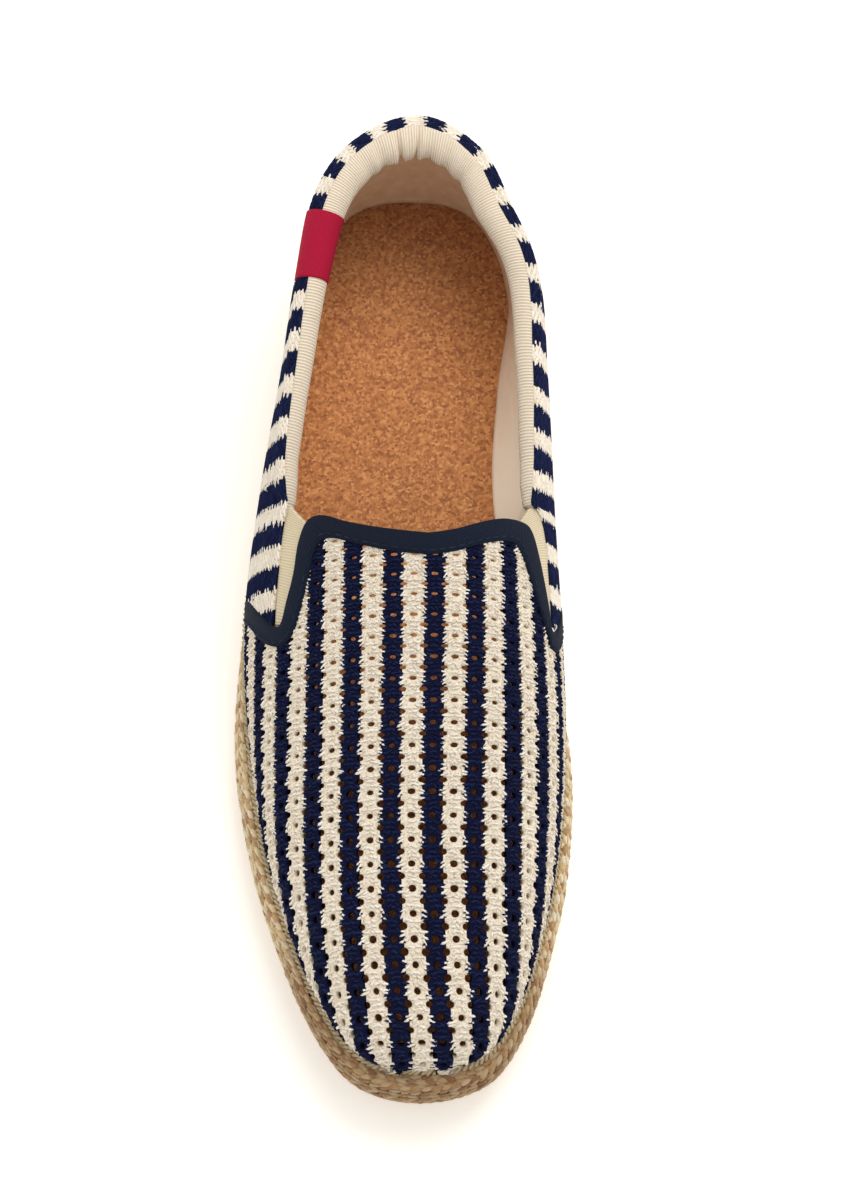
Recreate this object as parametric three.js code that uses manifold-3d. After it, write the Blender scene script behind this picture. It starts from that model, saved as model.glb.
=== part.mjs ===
// A right-foot slip-on espadrille, standing empty on its sole.
// Millimetres, +Z up, toe towards -Y, heel towards +Y, inner side of the foot towards +X.
// The origin is on the floor, under the middle of the shoe's box.

import * as THREE from 'three';
import { mergeVertices } from 'three/addons/utils/BufferGeometryUtils.js';
import Module from 'manifold-3d';

const wasm = await Module();
wasm.setup();

// Driving sizes of the sole
const soleLength = 281;
const ballWidth = 99;
const heelStack = 24;
const foreStack = 20;
const outsoleThickness = 4;
const outsoleInset = 1.8;
const outsoleEdgeInset = 0.6;
const outsoleEdgeRise = 0.8;
const toeSpring = 5;
const springLength = 82;

// The sole thickens between these shares of its length, taken from the middle to the heel
const riseStart = -0.14;
const riseRun = 0.36;

// Side of the rope midsole, and the ledge that it leaves round the upper
const braidRows = 4;
const braidRelief = 1.1;
const sideRounding = 2.2;
const bellyPlace = 0.45;
const soleLip = 5;
const insoleThickness = 3;
const insoleEdge = 0.6;

// Driving sizes of the upper, with heights taken from the top of the sole
const instepRise = 55.5;
const heelRise = 42;
const upperWall = 2.4;
const vampLength = 152;
const goreDepth = 20;
const goreThickness = 1.4;
const goreRecess = 0.5;
const goreGap = 0.45;
const tapeThickness = 1.2;
const tapeOverhang = 0.5;
const collarWidth = 12.6;
const collarHeight = 10.5;
const tabLength = 20;
const tabFromHeel = 27;
const tabThickness = 1.1;
const tabDrop = 9;
const tabReach = 26;
const tabFrontLean = { x: 1.6, y: 1 };
const tabRearLean = { x: 3.4, y: 2.5 };

// Clearance between pieces that touch
const seam = 0.3;

// Plan of the sole, a row for every fifteen degrees of a half turn from heel (first) to toe
// (last). lateral and medial are half widths as shares of the ball width, lipL and lipM the ledge
// of the sole round the upper on each side as shares of soleLip.
const plan = [
  { lateral: 0.015, medial: -0.015, lipL: 0.64, lipM: 0.64 },
  { lateral: 0.207, medial: 0.167, lipL: 0.48, lipM: 0.48 },
  { lateral: 0.323, medial: 0.278, lipL: 0.32, lipM: 0.32 },
  { lateral: 0.366, medial: 0.325, lipL: 0.20, lipM: 0.20 },
  { lateral: 0.402, medial: 0.302, lipL: 0.20, lipM: 0.20 },
  { lateral: 0.463, medial: 0.302, lipL: 0.24, lipM: 0.20 },
  { lateral: 0.521, medial: 0.388, lipL: 0.32, lipM: 0.30 },
  { lateral: 0.541, medial: 0.459, lipL: 1.00, lipM: 0.80 },
  { lateral: 0.490, medial: 0.451, lipL: 1.00, lipM: 1.00 },
  { lateral: 0.398, medial: 0.389, lipL: 1.00, lipM: 1.00 },
  { lateral: 0.295, medial: 0.309, lipL: 1.10, lipM: 1.12 },
  { lateral: 0.178, medial: 0.198, lipL: 1.36, lipM: 1.40 },
  { lateral: -0.005, medial: 0.005, lipL: 1.62, lipM: 1.62 },
];

// Shape of the last, in the same rows. bulge is how far the upper swells past its seam as a share
// of the ball width, full the power of the section's arch, ridgeX the crest's place as a share of
// the ball width and ridge its height as a share of instepRise.
const lastShape = [
  { bulgeL: 0.060, bulgeM: 0.060, fullL: 4.0, fullM: 4.0, ridgeX: -0.020, ridge: 1.351 },
  { bulgeL: 0.034, bulgeM: 0.026, fullL: 3.2, fullM: 3.2, ridgeX: -0.020, ridge: 1.351 },
  { bulgeL: 0.028, bulgeM: 0.008, fullL: 2.8, fullM: 2.6, ridgeX: -0.020, ridge: 1.333 },
  { bulgeL: 0.026, bulgeM: 0.042, fullL: 2.9, fullM: 2.9, ridgeX: -0.010, ridge: 1.261 },
  { bulgeL: 0.030, bulgeM: 0.088, fullL: 2.8, fullM: 2.8, ridgeX: -0.005, ridge: 1.159 },
  { bulgeL: 0.028, bulgeM: 0.106, fullL: 2.5, fullM: 2.6, ridgeX: 0.000, ridge: 1.036 },
  { bulgeL: 0.016, bulgeM: 0.050, fullL: 2.1, fullM: 2.4, ridgeX: 0.020, ridge: 0.911 },
  { bulgeL: 0.012, bulgeM: 0.016, fullL: 1.9, fullM: 2.3, ridgeX: 0.045, ridge: 0.766 },
  { bulgeL: 0.010, bulgeM: 0.010, fullL: 1.9, fullM: 2.2, ridgeX: 0.050, ridge: 0.630 },
  { bulgeL: 0.010, bulgeM: 0.010, fullL: 2.0, fullM: 2.1, ridgeX: 0.040, ridge: 0.516 },
  { bulgeL: 0.010, bulgeM: 0.010, fullL: 2.1, fullM: 2.1, ridgeX: 0.030, ridge: 0.425 },
  { bulgeL: 0.010, bulgeM: 0.010, fullL: 2.1, fullM: 2.1, ridgeX: 0.020, ridge: 0.364 },
  { bulgeL: 0.010, bulgeM: 0.010, fullL: 2.1, fullM: 2.1, ridgeX: 0.015, ridge: 0.342 },
];
const rows = plan.length - 1;
const turn = 2 * rows;

// The crest runs between these shares of the sole's length, taken from the heel
const crestFromHeel = 0.157;
const crestFromToe = 0.107;

// Height of the topline from heel to throat: at is a share of the way from the heel end to the
// throat, height a share of heelRise.
const topline = [
  { at: -0.20, height: 1.000 },
  { at: 0.00, height: 1.000 },
  { at: 0.15, height: 0.975 },
  { at: 0.30, height: 0.920 },
  { at: 0.46, height: 0.860 },
  { at: 0.62, height: 0.820 },
  { at: 0.78, height: 0.805 },
  { at: 0.88, height: 0.835 },
  { at: 0.945, height: 0.985 },
  { at: 1.20, height: 0.985 },
];

// Throat edge in plan, from lateral to medial: across is a share of the ball width, back the
// distance behind the middle of the throat as a share of goreDepth.
const throatCurve = [
  { across: -0.55, back: 0.42 },
  { across: -0.31, back: 0.38 },
  { across: -0.24, back: 0.28 },
  { across: -0.12, back: 0.08 },
  { across: 0.00, back: 0.00 },
  { across: 0.11, back: 0.10 },
  { across: 0.20, back: 0.30 },
  { across: 0.27, back: 0.42 },
  { across: 0.55, back: 0.46 },
];

// Edges of the binding tape, from the sole up to the middle of the throat. back is the distance
// behind the middle of the throat as a share of goreDepth, lateral and medial the climb from
// seam (0) to crest (1).
const tapeRearEdge = [
  { back: -0.20, lateral: 0.000, medial: 0.000 },
  { back: -0.45, lateral: 0.173, medial: 0.130 },
  { back: -0.75, lateral: 0.290, medial: 0.220 },
  { back: -0.98, lateral: 0.370, medial: 0.300 },
  { back: -0.99, lateral: 0.420, medial: 0.350 },
  { back: -0.70, lateral: 0.455, medial: 0.365 },
  { back: -0.35, lateral: 0.490, medial: 0.390 },
  { back: 0.05, lateral: 0.510, medial: 0.420 },
  { back: 0.30, lateral: 0.540, medial: 0.450 },
  { back: 0.38, lateral: 0.580, medial: 0.500 },
  { back: 0.35, lateral: 0.640, medial: 0.620 },
  { back: 0.22, lateral: 0.730, medial: 0.760 },
  { back: 0.09, lateral: 0.860, medial: 0.880 },
  { back: 0.00, lateral: 1.000, medial: 1.000 },
];
const tapeFrontEdge = [
  { back: -0.55, lateral: 0.000, medial: 0.000 },
  { back: -0.82, lateral: 0.180, medial: 0.140 },
  { back: -1.15, lateral: 0.280, medial: 0.210 },
  { back: -1.38, lateral: 0.370, medial: 0.290 },
  { back: -1.38, lateral: 0.440, medial: 0.360 },
  { back: -1.15, lateral: 0.488, medial: 0.390 },
  { back: -0.77, lateral: 0.525, medial: 0.440 },
  { back: -0.40, lateral: 0.560, medial: 0.490 },
  { back: -0.10, lateral: 0.585, medial: 0.530 },
  { back: 0.04, lateral: 0.625, medial: 0.575 },
  { back: 0.02, lateral: 0.680, medial: 0.660 },
  { back: -0.10, lateral: 0.770, medial: 0.790 },
  { back: -0.22, lateral: 0.880, medial: 0.900 },
  { back: -0.29, lateral: 1.000, medial: 1.000 },
];

// Edges of the elastic gore, from its lower point to past the topline, in the same terms
const goreFrontEdge = [
  { back: -0.98, lateral: 0.418, medial: 0.345 },
  { back: -0.70, lateral: 0.455, medial: 0.365 },
  { back: -0.35, lateral: 0.490, medial: 0.390 },
  { back: 0.05, lateral: 0.510, medial: 0.420 },
  { back: 0.30, lateral: 0.540, medial: 0.450 },
  { back: 0.45, lateral: 0.600, medial: 0.520 },
  { back: 0.50, lateral: 0.720, medial: 0.640 },
];
const goreRearEdge = [
  { back: -0.96, lateral: 0.388, medial: 0.318 },
  { back: -0.62, lateral: 0.408, medial: 0.318 },
  { back: -0.25, lateral: 0.422, medial: 0.316 },
  { back: 0.15, lateral: 0.428, medial: 0.316 },
  { back: 0.52, lateral: 0.432, medial: 0.322 },
  { back: 0.72, lateral: 0.480, medial: 0.370 },
  { back: 0.80, lateral: 0.600, medial: 0.520 },
];

// How early the upper swells over its seam, and how closely the facets crowd there
const swellPower = 0.6;
const seamCrowding = 1.35;

// Fineness of the faceting
const ringSteps = 68;
const climbSteps = 13;
const edgeSteps = 32;
const collarSteps = 34;
const collarSides = 10;
const mouthSteps = 36;
const patchWidthSteps = 4;
const braidFacets = 3;

const { PI, abs, cos, floor, hypot, max, min, sin } = Math;
const heelY = soleLength / 2;
const throatY = vampLength - soleLength / 2;
const ceiling = 3 * instepRise;
const mouthMargin = 3 * soleLip;
const crestRearY = heelY - crestFromHeel * soleLength;
const crestFrontY = -heelY + crestFromToe * soleLength;

// One column of a table as a closed ring: heel to toe on the lateral side, then back to
// the heel on the medial side.
function ringOf(table, lateralColumn, medialColumn, lateralSign = 1) {
  const lateral = table.map((row) => lateralSign * row[lateralColumn]);
  const medial = table.slice(1, -1).map((row) => row[medialColumn]);
  return [...lateral, ...medial.reverse()];
}

const rings = {
  x: ringOf(plan, 'lateral', 'medial', -1),
  lip: ringOf(plan, 'lipL', 'lipM'),
  bulge: ringOf(lastShape, 'bulgeL', 'bulgeM'),
  fullness: ringOf(lastShape, 'fullL', 'fullM'),
  ridgeX: ringOf(lastShape, 'ridgeX', 'ridgeX'),
  ridge: ringOf(lastShape, 'ridge', 'ridge'),
};

// Smooth value between four neighbours, f from 0 at b to 1 at c
function blend(a, b, c, d, f) {
  return b + 0.5 * f * (c - a + f * (2 * a - 5 * b + 4 * c - d + f * (3 * (b - c) + d - a)));
}

function around(ring, station) {
  const n = ring.length;
  const i = floor(station);
  const at = (k) => ring[(((i + k) % n) + n) % n];
  return blend(at(-1), at(0), at(1), at(2), station - i);
}

// Smooth value of a named column along a table's rows, t from 0 to 1
function along(table, column, t) {
  const place = min(max(t, 0), 1) * (table.length - 1);
  const i = min(floor(place), table.length - 2);
  const at = (k) => table[min(max(i + k, 0), table.length - 1)][column];
  return blend(at(-1), at(0), at(1), at(2), place - i);
}

// Straight-line value of one column against another that only grows
function lookUp(table, keyColumn, column, key) {
  let i = 0;
  while (i < table.length - 2 && table[i + 1][keyColumn] < key) i += 1;
  const [low, high] = [table[i], table[i + 1]];
  const share = (key - low[keyColumn]) / (high[keyColumn] - low[keyColumn]);
  return low[column] + share * (high[column] - low[column]);
}

function lengthwise(station, rear, front) {
  return (rear + front) / 2 + ((rear - front) / 2) * cos((PI * station) / rows);
}

// Lift of the sole off the floor towards the toe
function spring(y) {
  const past = max(0, -heelY + springLength - y) / springLength;
  return toeSpring * past * past;
}

// Height of the sole's top above its bottom
function stack(y) {
  const share = min(max((y - riseStart * soleLength) / (riseRun * soleLength), 0), 1);
  const eased = share * share * (3 - 2 * share);
  return foreStack + (heelStack - foreStack) * eased;
}

function soleTop(y) {
  return stack(y) + spring(y);
}

// Point of the sole's plan outline, moved inwards by inset, with the outward direction there
function outline(station, inset) {
  const step = 0.001;
  const x = ballWidth * around(rings.x, station);
  const y = lengthwise(station, heelY, -heelY);
  const dx = ballWidth * (around(rings.x, station + step) - around(rings.x, station - step));
  const dy = lengthwise(station + step, heelY, -heelY) - lengthwise(station - step, heelY, -heelY);
  const size = hypot(dx, dy);
  const [nx, ny] = [dy / size, -dx / size];
  return { x: x - inset * nx, y: y - inset * ny, nx, ny };
}

// Point of the last: station runs round the plan, climb from the seam at 0 to the crest at 1,
// and offset moves the whole skin outwards.
function skin(station, climb, offset) {
  const lip = soleLip * around(rings.lip, station);
  const base = outline(station, lip - offset);
  const power = 2 / around(rings.fullness, station);
  const angle = (min(max(climb, 0), 1) * PI) / 2;
  const inwards = 1 - max(0, cos(angle)) ** power;
  const upwards = sin(angle) ** power;
  const swell = ballWidth * around(rings.bulge, station) * sin(PI * min(1, upwards) ** swellPower);
  const crestX = ballWidth * around(rings.ridgeX, station);
  const crestY = lengthwise(station, crestRearY, crestFrontY);
  const crestZ = soleTop(crestY) + instepRise * around(rings.ridge, station) + offset;
  const baseZ = soleTop(base.y) + seam;
  return new THREE.Vector3(
    base.x + (crestX - base.x) * inwards + base.nx * swell,
    base.y + (crestY - base.y) * inwards + base.ny * swell,
    baseZ + (crestZ - baseZ) * upwards,
  );
}

// Station on one side where the skin at a given climb has the wanted y
function stationAt(side, y, climb, offset) {
  let [low, high] = [0, rows];
  for (let i = 0; i < 30; i += 1) {
    const middle = (low + high) / 2;
    const station = side === 'lateral' ? middle : turn - middle;
    if (skin(station, climb, offset).y > y) low = middle;
    else high = middle;
  }
  return side === 'lateral' ? low : turn - low;
}

function toplineZ(y) {
  const at = (heelY - y) / (heelY - throatY);
  return soleTop(y) + heelRise * lookUp(topline, 'at', 'height', at);
}

// Climb at which the skin reaches the topline
function climbAtTop(station, offset) {
  let [low, high] = [0, 1];
  for (let i = 0; i < 30; i += 1) {
    const middle = (low + high) / 2;
    const point = skin(station, middle, offset);
    if (point.z < toplineZ(point.y)) low = middle;
    else high = middle;
  }
  return low;
}

// Solid from points and triangles, and back to a geometry
function solidOf(points, triangles) {
  const geometry = new THREE.BufferGeometry().setFromPoints(points);
  geometry.setIndex(triangles.flat());
  return solidFrom(geometry);
}

function solidFrom(geometry) {
  geometry.deleteAttribute('normal');
  geometry.deleteAttribute('uv');
  const merged = mergeVertices(geometry.index ? geometry : geometry.clone(), 1e-4);
  const vertProperties = Float32Array.from(merged.attributes.position.array);
  const triVerts = Uint32Array.from(merged.index.array);
  return new wasm.Manifold(new wasm.Mesh({ numProp: 3, vertProperties, triVerts }));
}

function geometryOf(solid) {
  const mesh = solid.getMesh();
  const geometry = new THREE.BufferGeometry();
  geometry.setAttribute('position', new THREE.BufferAttribute(mesh.vertProperties, 3));
  geometry.setIndex(new THREE.BufferAttribute(mesh.triVerts, 1));
  return geometry;
}

// Quads between two neighbouring rings of points, listed from the lower ring
function bandBetween(lower, upper, count) {
  const triangles = [];
  for (let j = 0; j < count; j += 1) {
    const next = (j + 1) % count;
    triangles.push([lower(j), lower(next), upper(next)], [lower(j), upper(next), upper(j)]);
  }
  return triangles;
}

// Lid across a ring from its lateral points to its medial points
function lidAcross(ring, count, facesUp) {
  const triangles = [];
  const other = (j) => (count - j) % count;
  for (let j = 0; j < count / 2; j += 1) {
    const quad = [
      [ring(j), ring(other(j + 1)), ring(j + 1)],
      [ring(j), ring(other(j)), ring(other(j + 1))],
    ];
    for (const [a, b, c] of quad) {
      if (a !== b && b !== c && a !== c) triangles.push(facesUp ? [a, c, b] : [a, b, c]);
    }
  }
  return triangles;
}

function everyStation(makePoint) {
  return Array.from({ length: ringSteps }, (_, j) => makePoint((j * turn) / ringSteps));
}

// Flat-laid layer of the sole: a level is an inset of the plan and a height for each point
function layer(levels) {
  const points = levels.flatMap(({ inset, height }) => everyStation((station) => {
    const { x, y } = outline(station, inset(station));
    return new THREE.Vector3(x, y, height(y));
  }));
  const ringAt = (level) => (j) => level * ringSteps + j;
  const triangles = [...lidAcross(ringAt(0), ringSteps, false)];
  for (let level = 0; level < levels.length - 1; level += 1) {
    triangles.push(...bandBetween(ringAt(level), ringAt(level + 1), ringSteps));
  }
  triangles.push(...lidAcross(ringAt(levels.length - 1), ringSteps, true));
  return solidOf(points, triangles);
}

// Closed form of the last at an offset; skirt carries it down below the seam
function lastForm(offset, skirt) {
  const levels = [];
  if (skirt > 0) {
    levels.push((station) => skin(station, 0, offset).add(new THREE.Vector3(0, 0, -skirt)));
  }
  for (let i = 0; i <= climbSteps; i += 1) {
    const climb = (i / climbSteps) ** seamCrowding;
    levels.push((station) => skin(station, climb, offset));
  }
  const points = levels.flatMap((level) => everyStation(level));
  const ringAt = (level) => (j) => level * ringSteps + j;
  const crest = levels.length - 1;
  const crestRing = (j) => crest * ringSteps + min(j, ringSteps - j);
  const triangles = [...lidAcross(ringAt(0), ringSteps, false)];
  for (let level = 0; level < crest; level += 1) {
    const upper = level + 1 === crest ? crestRing : ringAt(level + 1);
    triangles.push(...bandBetween(ringAt(level), upper, ringSteps));
  }
  return solidOf(points, triangles.filter(([a, b, c]) => a !== b && b !== c && a !== c));
}

// Slab of the skin between two edges, each a function of t giving side, y and climb
function patch(side, edgeA, edgeB, lowOffset, highOffset, steps) {
  const last = patchWidthSteps;
  const points = [];
  for (const offset of [lowOffset, highOffset]) {
    for (let i = 0; i <= steps; i += 1) {
      const [a, b] = [edgeA(i / steps), edgeB(i / steps)];
      for (let k = 0; k <= last; k += 1) {
        const share = k / last;
        const climb = a.climb + share * (b.climb - a.climb);
        const y = a.y + share * (b.y - a.y);
        const wanted = stationAt(side, y, climb, 0);
        points.push(skin(wanted, climb, offset));
      }
    }
  }
  const wide = last + 1;
  const sheet = wide * (steps + 1);
  const at = (top, i, k) => top * sheet + i * wide + k;
  const quads = [];
  const quad = (a, b, c, d) => quads.push([a, b, c], [a, c, d]);
  for (let i = 0; i < steps; i += 1) {
    for (let k = 0; k < last; k += 1) {
      quad(at(0, i, k), at(0, i, k + 1), at(0, i + 1, k + 1), at(0, i + 1, k));
      quad(at(1, i, k), at(1, i + 1, k), at(1, i + 1, k + 1), at(1, i, k + 1));
    }
    quad(at(0, i, 0), at(0, i + 1, 0), at(1, i + 1, 0), at(1, i, 0));
    quad(at(0, i, last), at(1, i, last), at(1, i + 1, last), at(0, i + 1, last));
  }
  for (let k = 0; k < last; k += 1) {
    quad(at(0, 0, k), at(1, 0, k), at(1, 0, k + 1), at(0, 0, k + 1));
    quad(at(0, steps, k), at(0, steps, k + 1), at(1, steps, k + 1), at(1, steps, k));
  }
  return upright(points, quads);
}

// Solid whose triangles are turned outwards, whichever way round they were listed
function upright(points, triangles) {
  let volume = 0;
  for (const [a, b, c] of triangles) {
    volume += points[a].dot(points[b].clone().cross(points[c]));
  }
  const faced = volume > 0 ? triangles : triangles.map(([a, b, c]) => [a, c, b]);
  return solidOf(points, faced);
}

function edgeOf(table, side, shift) {
  return (t) => ({
    y: throatY + goreDepth * along(table, 'back', t),
    climb: along(table, side, t) + shift,
  });
}

// Upright prism over a plan outline, and a prism across the shoe over a side-view outline
function planPrism(corners, low, high) {
  const shape = new THREE.Shape(corners.map(([x, y]) => new THREE.Vector2(x, y)));
  const prism = new THREE.ExtrudeGeometry(shape, { depth: high - low, bevelEnabled: false });
  prism.translate(0, 0, low);
  return solidFrom(prism);
}

function crossPrism(corners, reach) {
  const shape = new THREE.Shape(corners.map(([y, z]) => new THREE.Vector2(y, z)));
  const prism = new THREE.ExtrudeGeometry(shape, { depth: 2 * reach, bevelEnabled: false });
  prism.translate(0, 0, -reach);
  prism.rotateY(PI / 2);
  prism.rotateX(PI / 2);
  return solidFrom(prism);
}

// Mouth of the shoe: above the topline in side view and behind the throat edge in plan
function mouth(lift) {
  const rear = heelY + mouthMargin;
  const front = throatY - goreDepth;
  const line = [];
  const edge = [];
  for (let i = 0; i <= mouthSteps; i += 1) {
    const t = i / mouthSteps;
    const y = rear + t * (front - rear);
    line.push([y, toplineZ(y) + lift]);
    edge.push([
      ballWidth * along(throatCurve, 'across', t),
      throatY + goreDepth * along(throatCurve, 'back', t) + lift,
    ]);
  }
  const over = crossPrism([...line, [front, ceiling], [rear, ceiling]], ballWidth);
  const wide = edge[mouthSteps][0];
  const behind = planPrism([...edge, [wide, 2 * rear], [-wide, 2 * rear]], 0, 2 * ceiling);
  return over.intersect(behind);
}

// Rubber outsole: a thin flat plate under the rope sole, lifted at the toe
function outsole() {
  const inset = () => outsoleInset;
  return layer([
    { inset: () => outsoleInset + outsoleEdgeInset, height: (y) => spring(y) },
    { inset, height: (y) => spring(y) + outsoleEdgeRise },
    { inset, height: (y) => spring(y) + outsoleThickness },
  ]);
}

// Rope midsole: rows of braid show as ribs round its rounded side
function midsole() {
  const bottom = outsoleThickness + seam;
  const steps = braidRows * braidFacets;
  const levels = [];
  for (let i = 0; i <= steps; i += 1) {
    const share = i / steps;
    const groove = braidRelief * (1 - abs(sin(PI * share * braidRows)));
    const belly = sideRounding * (2 * (share - bellyPlace)) ** 2;
    const height = (y) => spring(y) + bottom + share * (stack(y) - bottom);
    levels.push({ inset: () => groove + belly, height });
  }
  return layer(levels);
}

// Cork insole lying inside the upper
function insole() {
  const inset = (station) => soleLip * around(rings.lip, station) + upperWall + seam;
  const drawnIn = (station) => inset(station) + insoleEdge;
  const bottom = (y) => soleTop(y) + seam;
  return layer([
    { inset, height: bottom },
    { inset, height: (y) => bottom(y) + insoleThickness - insoleEdge },
    { inset: drawnIn, height: (y) => bottom(y) + insoleThickness },
  ]);
}

const sides = ['lateral', 'medial'];
const hollow = lastForm(-upperWall, heelStack);
const opening = mouth(0);

// Notch for a gore, drawn in by a gap at both edges and at its lower point
function goreNotch(side, gap) {
  const front = edgeOf(goreFrontEdge, side, -gap / instepRise);
  const rear = edgeOf(goreRearEdge, side, gap / instepRise);
  const raise = (edge) => (t) => edge(gap / goreDepth + t * (1 - gap / goreDepth));
  return patch(side, raise(front), raise(rear), -2 * upperWall, upperWall, edgeSteps / 2);
}

// Knitted upper: one hollow wall, open at the mouth, underneath and at the two gores
function upper() {
  let wall = lastForm(0, 0).subtract(hollow).subtract(opening);
  for (const side of sides) {
    wall = wall.subtract(goreNotch(side, 0));
  }
  return wall;
}

// Elastic gore: a thin panel set a little behind the face of the upper
function gore(side) {
  const sheet = lastForm(-goreRecess, 0).subtract(lastForm(-goreRecess - goreThickness, heelStack));
  return sheet.intersect(goreNotch(side, goreGap)).subtract(opening);
}

// Binding tape: follows the vamp's rear edge from the sole, round both gores and the throat
function binding() {
  const sheet = lastForm(seam + tapeThickness, 0).subtract(lastForm(seam, heelStack));
  const overhang = tapeOverhang / instepRise;
  const bands = sides.map((side) => {
    const rear = edgeOf(tapeRearEdge, side, 0);
    const front = edgeOf(tapeFrontEdge, side, 0);
    const rearOver = (t) => {
      const edge = rear(t);
      return { y: edge.y + tapeOverhang * t, climb: edge.climb - overhang * (1 - t) };
    };
    return patch(side, rearOver, front, -upperWall, 3 * tapeThickness, edgeSteps);
  });
  return sheet.intersect(bands[0].add(bands[1])).subtract(mouth(tapeOverhang));
}

// Padded collar: centre, outward direction and half sizes of its section at a share t of the
// way from the lateral gore round the heel to the medial gore.
const collarRows = [
  { t: 0.00, width: 0.40, height: 0.44, inward: 0.13 },
  { t: 0.05, width: 0.52, height: 0.58, inward: 0.15 },
  { t: 0.15, width: 0.64, height: 0.68, inward: 0.20 },
  { t: 0.30, width: 0.84, height: 0.84, inward: 0.29 },
  { t: 0.42, width: 0.96, height: 0.95, inward: 0.30 },
  { t: 0.50, width: 1.00, height: 1.00, inward: 0.27 },
  { t: 0.58, width: 0.96, height: 0.95, inward: 0.38 },
  { t: 0.70, width: 0.84, height: 0.84, inward: 0.36 },
  { t: 0.85, width: 0.64, height: 0.68, inward: 0.26 },
  { t: 0.95, width: 0.52, height: 0.58, inward: 0.20 },
  { t: 1.00, width: 0.40, height: 0.44, inward: 0.16 },
];
// Ends of the collar at the rear edges of the gores, in the terms of the gore's edges
const collarFront = {
  lateral: { back: 0.72, climb: 0.46 },
  medial: { back: 0.82, climb: 0.38 },
};

function frontStation(side) {
  const { back, climb } = collarFront[side];
  return stationAt(side, throatY + goreDepth * back, climb, 0);
}

const collarStart = frontStation('lateral');
const collarEnd = frontStation('medial') - turn;

function collarSection(t) {
  const station = collarStart + t * (collarEnd - collarStart);
  const rim = skin(station, climbAtTop(station, 0), 0);
  const { nx, ny } = outline(station, 0);
  const read = (column) => lookUp(collarRows, 't', column, t);
  const inward = collarWidth * read('inward');
  const centre = new THREE.Vector3(rim.x - nx * inward, rim.y - ny * inward, rim.z);
  const halfWidth = (collarWidth * read('width')) / 2;
  const halfHeight = (collarHeight * read('height')) / 2;
  return { centre, nx, ny, halfWidth, halfHeight };
}

function collarForm(grow) {
  const points = [];
  for (let i = 0; i <= collarSteps; i += 1) {
    const { centre, nx, ny, halfWidth, halfHeight } = collarSection(i / collarSteps);
    for (let k = 0; k < collarSides; k += 1) {
      const angle = (2 * PI * k) / collarSides;
      const out = (halfWidth + grow) * cos(angle);
      const rise = (halfHeight + grow) * sin(angle);
      points.push(new THREE.Vector3(centre.x + nx * out, centre.y + ny * out, centre.z + rise));
    }
  }
  const ringAt = (i) => (k) => i * collarSides + (k % collarSides);
  const end = collarSteps * collarSides;
  const triangles = [];
  for (let i = 0; i < collarSteps; i += 1) {
    triangles.push(...bandBetween(ringAt(i), ringAt(i + 1), collarSides));
  }
  for (let k = 1; k < collarSides - 1; k += 1) {
    triangles.push([0, k + 1, k], [end, end + k, end + k + 1]);
  }
  return upright(points, triangles);
}

// Wall of the upper grown by the seam on every side, for pieces that lie against it
function wallKeepOut() {
  const inside = lastForm(-upperWall - seam, heelStack);
  return lastForm(seam, 0).subtract(inside).subtract(mouth(seam));
}

function collar() {
  return collarForm(0).subtract(wallKeepOut());
}

// Folded tab: a strip of ribbon over the collar on the lateral side. It lies a little askew, so
// both corners of its inner end are moved from the square by a named lean.
function sideTab() {
  const rear = heelY - tabFromHeel;
  const front = rear - tabLength;
  const outer = -ballWidth / 2;
  const region = planPrism([
    [outer, front],
    [-tabReach - tabFrontLean.x, front - tabFrontLean.y],
    [-tabReach + tabRearLean.x, rear - tabRearLean.y],
    [outer, rear],
  ], 0, ceiling);
  const above = crossPrism([
    [front - tabLength, toplineZ(front) - tabDrop],
    [rear + tabLength, toplineZ(rear) - tabDrop],
    [rear + tabLength, ceiling],
    [front - tabLength, ceiling],
  ], ballWidth);
  const face = seam + tabThickness;
  const wall = lastForm(face, 0).subtract(lastForm(0, heelStack)).subtract(mouth(0));
  const inside = collarForm(seam).add(lastForm(seam, 0).subtract(mouth(seam)));
  return collarForm(face).add(wall).subtract(inside).intersect(region).intersect(above);
}

const finishes = {
  rubber: { color: 0xb98d5b, roughness: 0.8, metalness: 0 },
  jute: { color: 0xb79a6c, roughness: 0.95, metalness: 0 },
  cork: { color: 0xb9763f, roughness: 0.85, metalness: 0 },
  knit: { color: 0xe9dfcd, roughness: 0.95, metalness: 0 },
  navyTape: { color: 0x1b2440, roughness: 0.8, metalness: 0 },
  elastic: { color: 0xcfc4a8, roughness: 0.85, metalness: 0 },
  creamBand: { color: 0xe3d6c2, roughness: 0.9, metalness: 0 },
  redTab: { color: 0xb01030, roughness: 0.75, metalness: 0 },
};

const pieces = [
  ['outsole', outsole(), finishes.rubber],
  ['midsole', midsole(), finishes.jute],
  ['insole', insole(), finishes.cork],
  ['upper', upper(), finishes.knit],
  ['gore_lateral', gore('lateral'), finishes.elastic],
  ['gore_medial', gore('medial'), finishes.elastic],
  ['vamp_binding', binding(), finishes.navyTape],
  ['collar', collar(), finishes.creamBand],
  ['side_tab', sideTab(), finishes.redTab],
];

const shoe = new THREE.Group();
for (const [name, solid, finish] of pieces) {
  const mesh = new THREE.Mesh(geometryOf(solid), new THREE.MeshStandardMaterial(finish));
  mesh.name = name;
  shoe.add(mesh);
}

// The shoe's box is centred on the origin
const box = new THREE.Box3().setFromObject(shoe);
const middle = box.getCenter(new THREE.Vector3());
shoe.position.set(-middle.x, -middle.y, -box.min.z);

export default shoe;
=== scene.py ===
"""A right-foot slip-on espadrille: a rope sole, an openwork striped vamp and a padded collar.

Lengths are millimetres in the shoe's own axes, toe towards -Y, heel towards +Y and the inner
side of the foot towards +X. They become metres in the frame where a mesh is made.
"""

import math

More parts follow.
